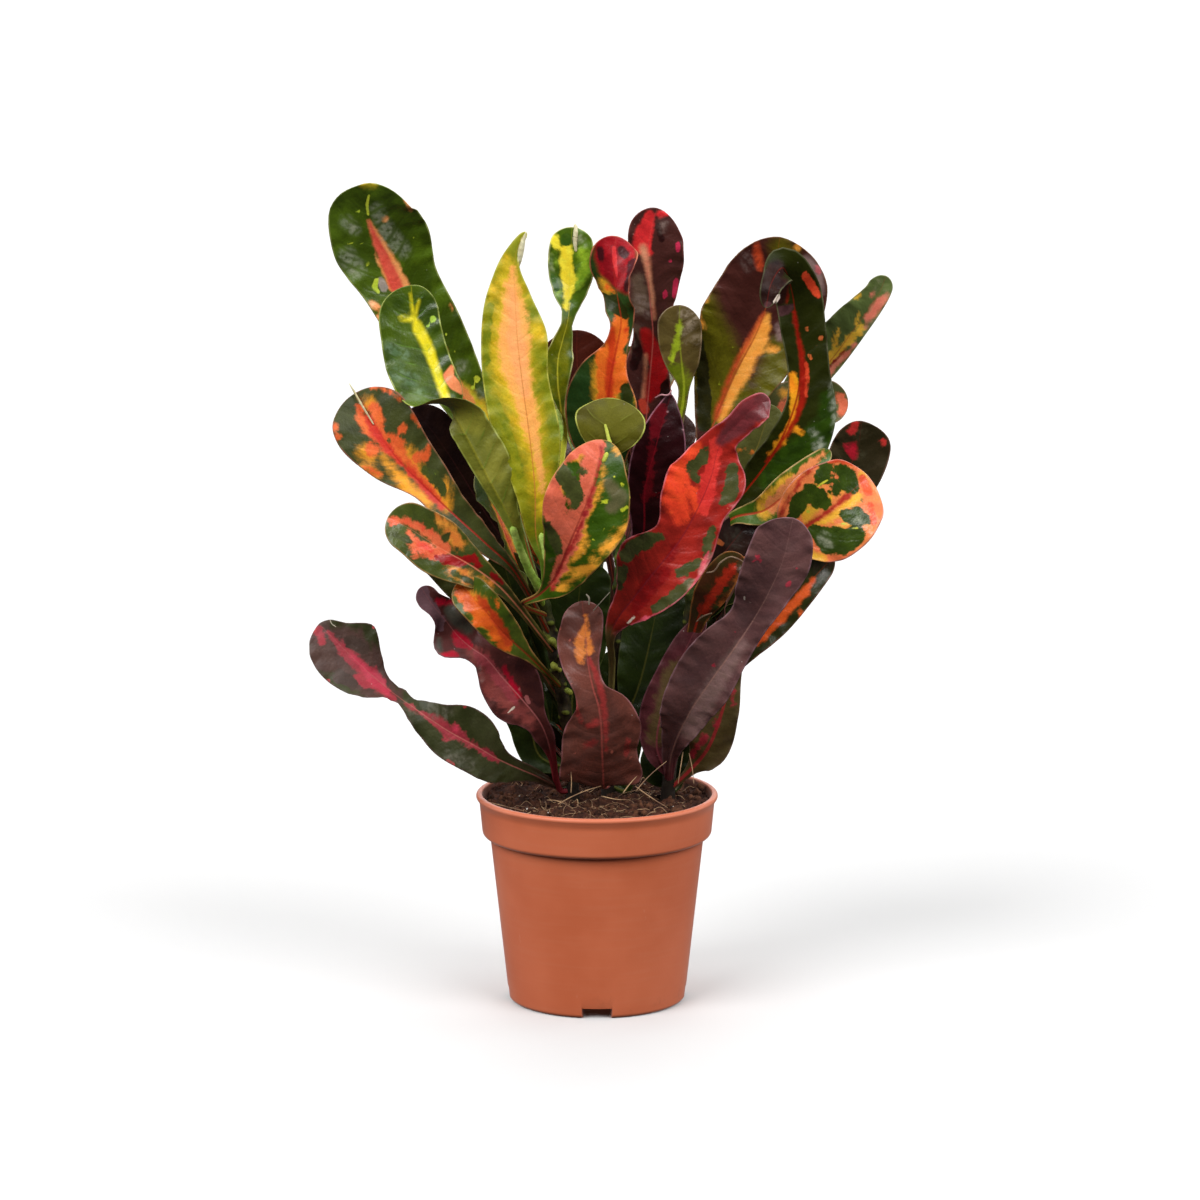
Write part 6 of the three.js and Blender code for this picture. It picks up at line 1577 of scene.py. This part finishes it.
# ---------------------------------------------------------------- stalks, tips and stray hairs
# name, stem, two colours, then [sheet x, sheet y, depth mm, radius mm] along each small piece
SPRIGS = [
    ("green_stalks", "left", "8cb03a c4dc70", [
        [[512, 526, -47, 1.7], [519, 546, -42, 1.9], [530, 572, -34, 2.1], [538, 585, -29, 2.3],
         [542, 592, -26, 2.6]],
        [[541, 533, -53, 1.6], [545, 548, -53, 1.9], [548, 564, -50, 2.0], [548, 580, -40, 2.2],
         [543, 592, -30, 2.6]],
        [[557, 409, -3, 0.5], [560, 418, -4, 1.2], [561, 430, -6, 1.3], [560, 442, -8, 0.9]]]),
    ("olive_stalk", "left", "98a030 b8c044", [
        [[605, 424, -64.5, 0.6], [608, 436, -66.5, 0.9], [610, 447, -72, 1.1], [606, 456, -76, 1.2],
         [603, 463, -77, 0.9]]]),
    ("pale_tips", "left", "b8a878 dcd8b4", [
        [[518, 268, -33, 0.5], [520, 256, -33.5, 1.5], [522, 246, -33.5, 1.3], [526, 232, -34, 0.3]],
        [[374, 425, -49.5, 0.35], [363, 407, -48.4, 0.5], [355, 393, -46, 0.5], [349, 383, -45, 0.25]],
        [[576, 252, 6, 0.5], [575, 240, 6, 1.2], [576, 231, 7, 1.3], [575, 224, 8, 0.6]]]),
    ("stray_hairs", "left", "8a8274 c8bca4", [
        [[330, 620, -46, 0.2], [332, 624, -46, 0.25], [336, 627, -46, 0.2]],
        [[593, 611, -39, 0.25], [601, 602, -40, 0.25], [610, 592, -40, 0.2]],
        [[586, 594, -40, 0.3], [589, 598, -41, 0.45], [589, 605, -41, 0.4]]]),
    ("curled_tips", "middle", "8c5a60 c08a90", [
        [[655, 398, -19, 0.35], [661, 395, -20, 0.45], [668, 395, -21, 0.45], [672, 390, -21, 0.3]]]),
    ("dry_tendril", "right", "6a4c3a a48a70", [
        [[706, 573, -30, 0.35], [714, 571, -31, 0.42], [720, 563, -32, 0.42], [730, 557, -33, 0.42],
         [738, 559, -33, 0.4], [745, 563, -33, 0.3]],
        [[696, 622, -40, 0.3], [702, 617, -41, 0.4], [712, 613, -42, 0.3]]]),
    ("leaf_scars", "left", "6c7a1e a8ac3c", [
        [[549, 639, -13, 0.9], [552, 641, -15, 1.9], [555, 645, -15, 1.2], [559, 648, -13, 1.6]],
        [[552, 662, -13, 0.8], [554, 666, -15, 1.7], [558, 669, -15, 1.0], [561, 671, -13, 1.4]],
        [[565, 689, -12, 0.8], [568, 691, -14, 1.5], [572, 694, -12, 1.0]]]),
]


SPRIG_SIDES, SPRIG_RINGS = 12, 10


def sprig_tube(rows):
    """A slightly lumpy tube with round ends; SPRIG_RINGS rings for each row."""
    path = np.column_stack((from_sheet([row[:3] for row in rows]), [row[3] for row in rows]))
    lengths = chord_lengths(path)
    at = np.linspace(0, lengths[-1], SPRIG_RINGS * len(rows))
    fine = through(lengths, path, at)
    lumps = 1 + 0.05 * np.sin(at * 0.7) + 0.04 * np.sin(at * 2.1)
    close = np.sqrt(np.clip(np.minimum(at, lengths[-1] - at) / fine[:, 3], 0.05, 1))
    return tube(fine[:, :3], fine[:, 3] * lumps * close, SPRIG_SIDES)


for name, stem, tones, pieces in SPRIGS:
    obj = tubes_object(name, [sprig_tube(rows) for rows in pieces])
    dress(obj, fibre_material(name, *tones.split()), "leafy_stem_" + stem)


# ---------------------------------------------------------------- stage, light and camera
FLOOR_REACH, FLOOR_LEVEL = 14000, -0.05  # mm; the level is just under the pot's foot
# name, where the light comes from, strength, and its width in degrees
SUNS = [
    ("front_left", (-0.7, -0.75, 0.9), 2.75, 38),
    ("front_right", (0.75, -0.75, 0.85), 2.2, 40),
    ("top", (0.0, 0.25, 1.0), 1.3, 40),
    ("side_left", (-1, 0.2, 0.3), 1.15, 50),
    ("side_right", (1, 0.2, 0.3), 1.25, 50),
    ("back", (0.1, 1, 0.5), 0.8, 50),
]
WORLD_STRENGTH = 0.06
# The camera: its place in metres and degrees below level, its sensor and lens in mm, and how
# far it sees in metres.
CAMERA_PLACE, CAMERA_DOWN = (0.0015, -2.5, 0.68217), 10.8593
SENSOR, LENS, CLIP_END = 36, 154.0946, 60


def floor_object():
    corners = [[x * FLOOR_REACH, y * FLOOR_REACH, FLOOR_LEVEL]
               for x, y in ((-1, -1), (1, -1), (1, 1), (-1, 1))]
    obj = mesh_object("floor", np.array(corners), [[0, 1, 2, 3]])
    n = Nodes("floor")
    soft = n.noise(n.place(), 1.5, 2.0)
    base = n.mix(n.times(soft, 0.02), (0.63, 0.63, 0.63, 1), (0.6, 0.6, 0.6, 1))
    obj.data.materials.append(n.finish(Base_Color=base, Roughness=0.9, Specular_IOR_Level=0.1))
    # the photographed plant isn't lit or mirrored by its white ground
    obj.visible_diffuse = obj.visible_glossy = False


def sun(name, towards, strength, spread):
    light = bpy.data.lights.new(name, "SUN")
    light.energy, light.angle = strength, math.radians(spread)
    obj = bpy.data.objects.new(name, light)
    obj.rotation_euler = Vector(towards).to_track_quat("Z", "Y").to_euler()
    bpy.context.scene.collection.objects.link(obj)


floor_object()
for row in SUNS:
    sun(*row)
world = bpy.data.worlds.new("studio")
world.use_nodes = True
background = world.node_tree.nodes["Background"]
background.inputs[0].default_value = (1, 1, 1, 1)
background.inputs[1].default_value = WORLD_STRENGTH
bpy.context.scene.world = world
bpy.context.scene.view_settings.view_transform = "Standard"

camera = bpy.data.cameras.new("camera")
camera.sensor_width, camera.lens, camera.clip_end = SENSOR, LENS, CLIP_END
eye = bpy.data.objects.new("camera", camera)
eye.location = CAMERA_PLACE
eye.rotation_euler = (math.radians(90 - CAMERA_DOWN), 0, 0)
bpy.context.scene.collection.objects.link(eye)
bpy.context.scene.camera = eye
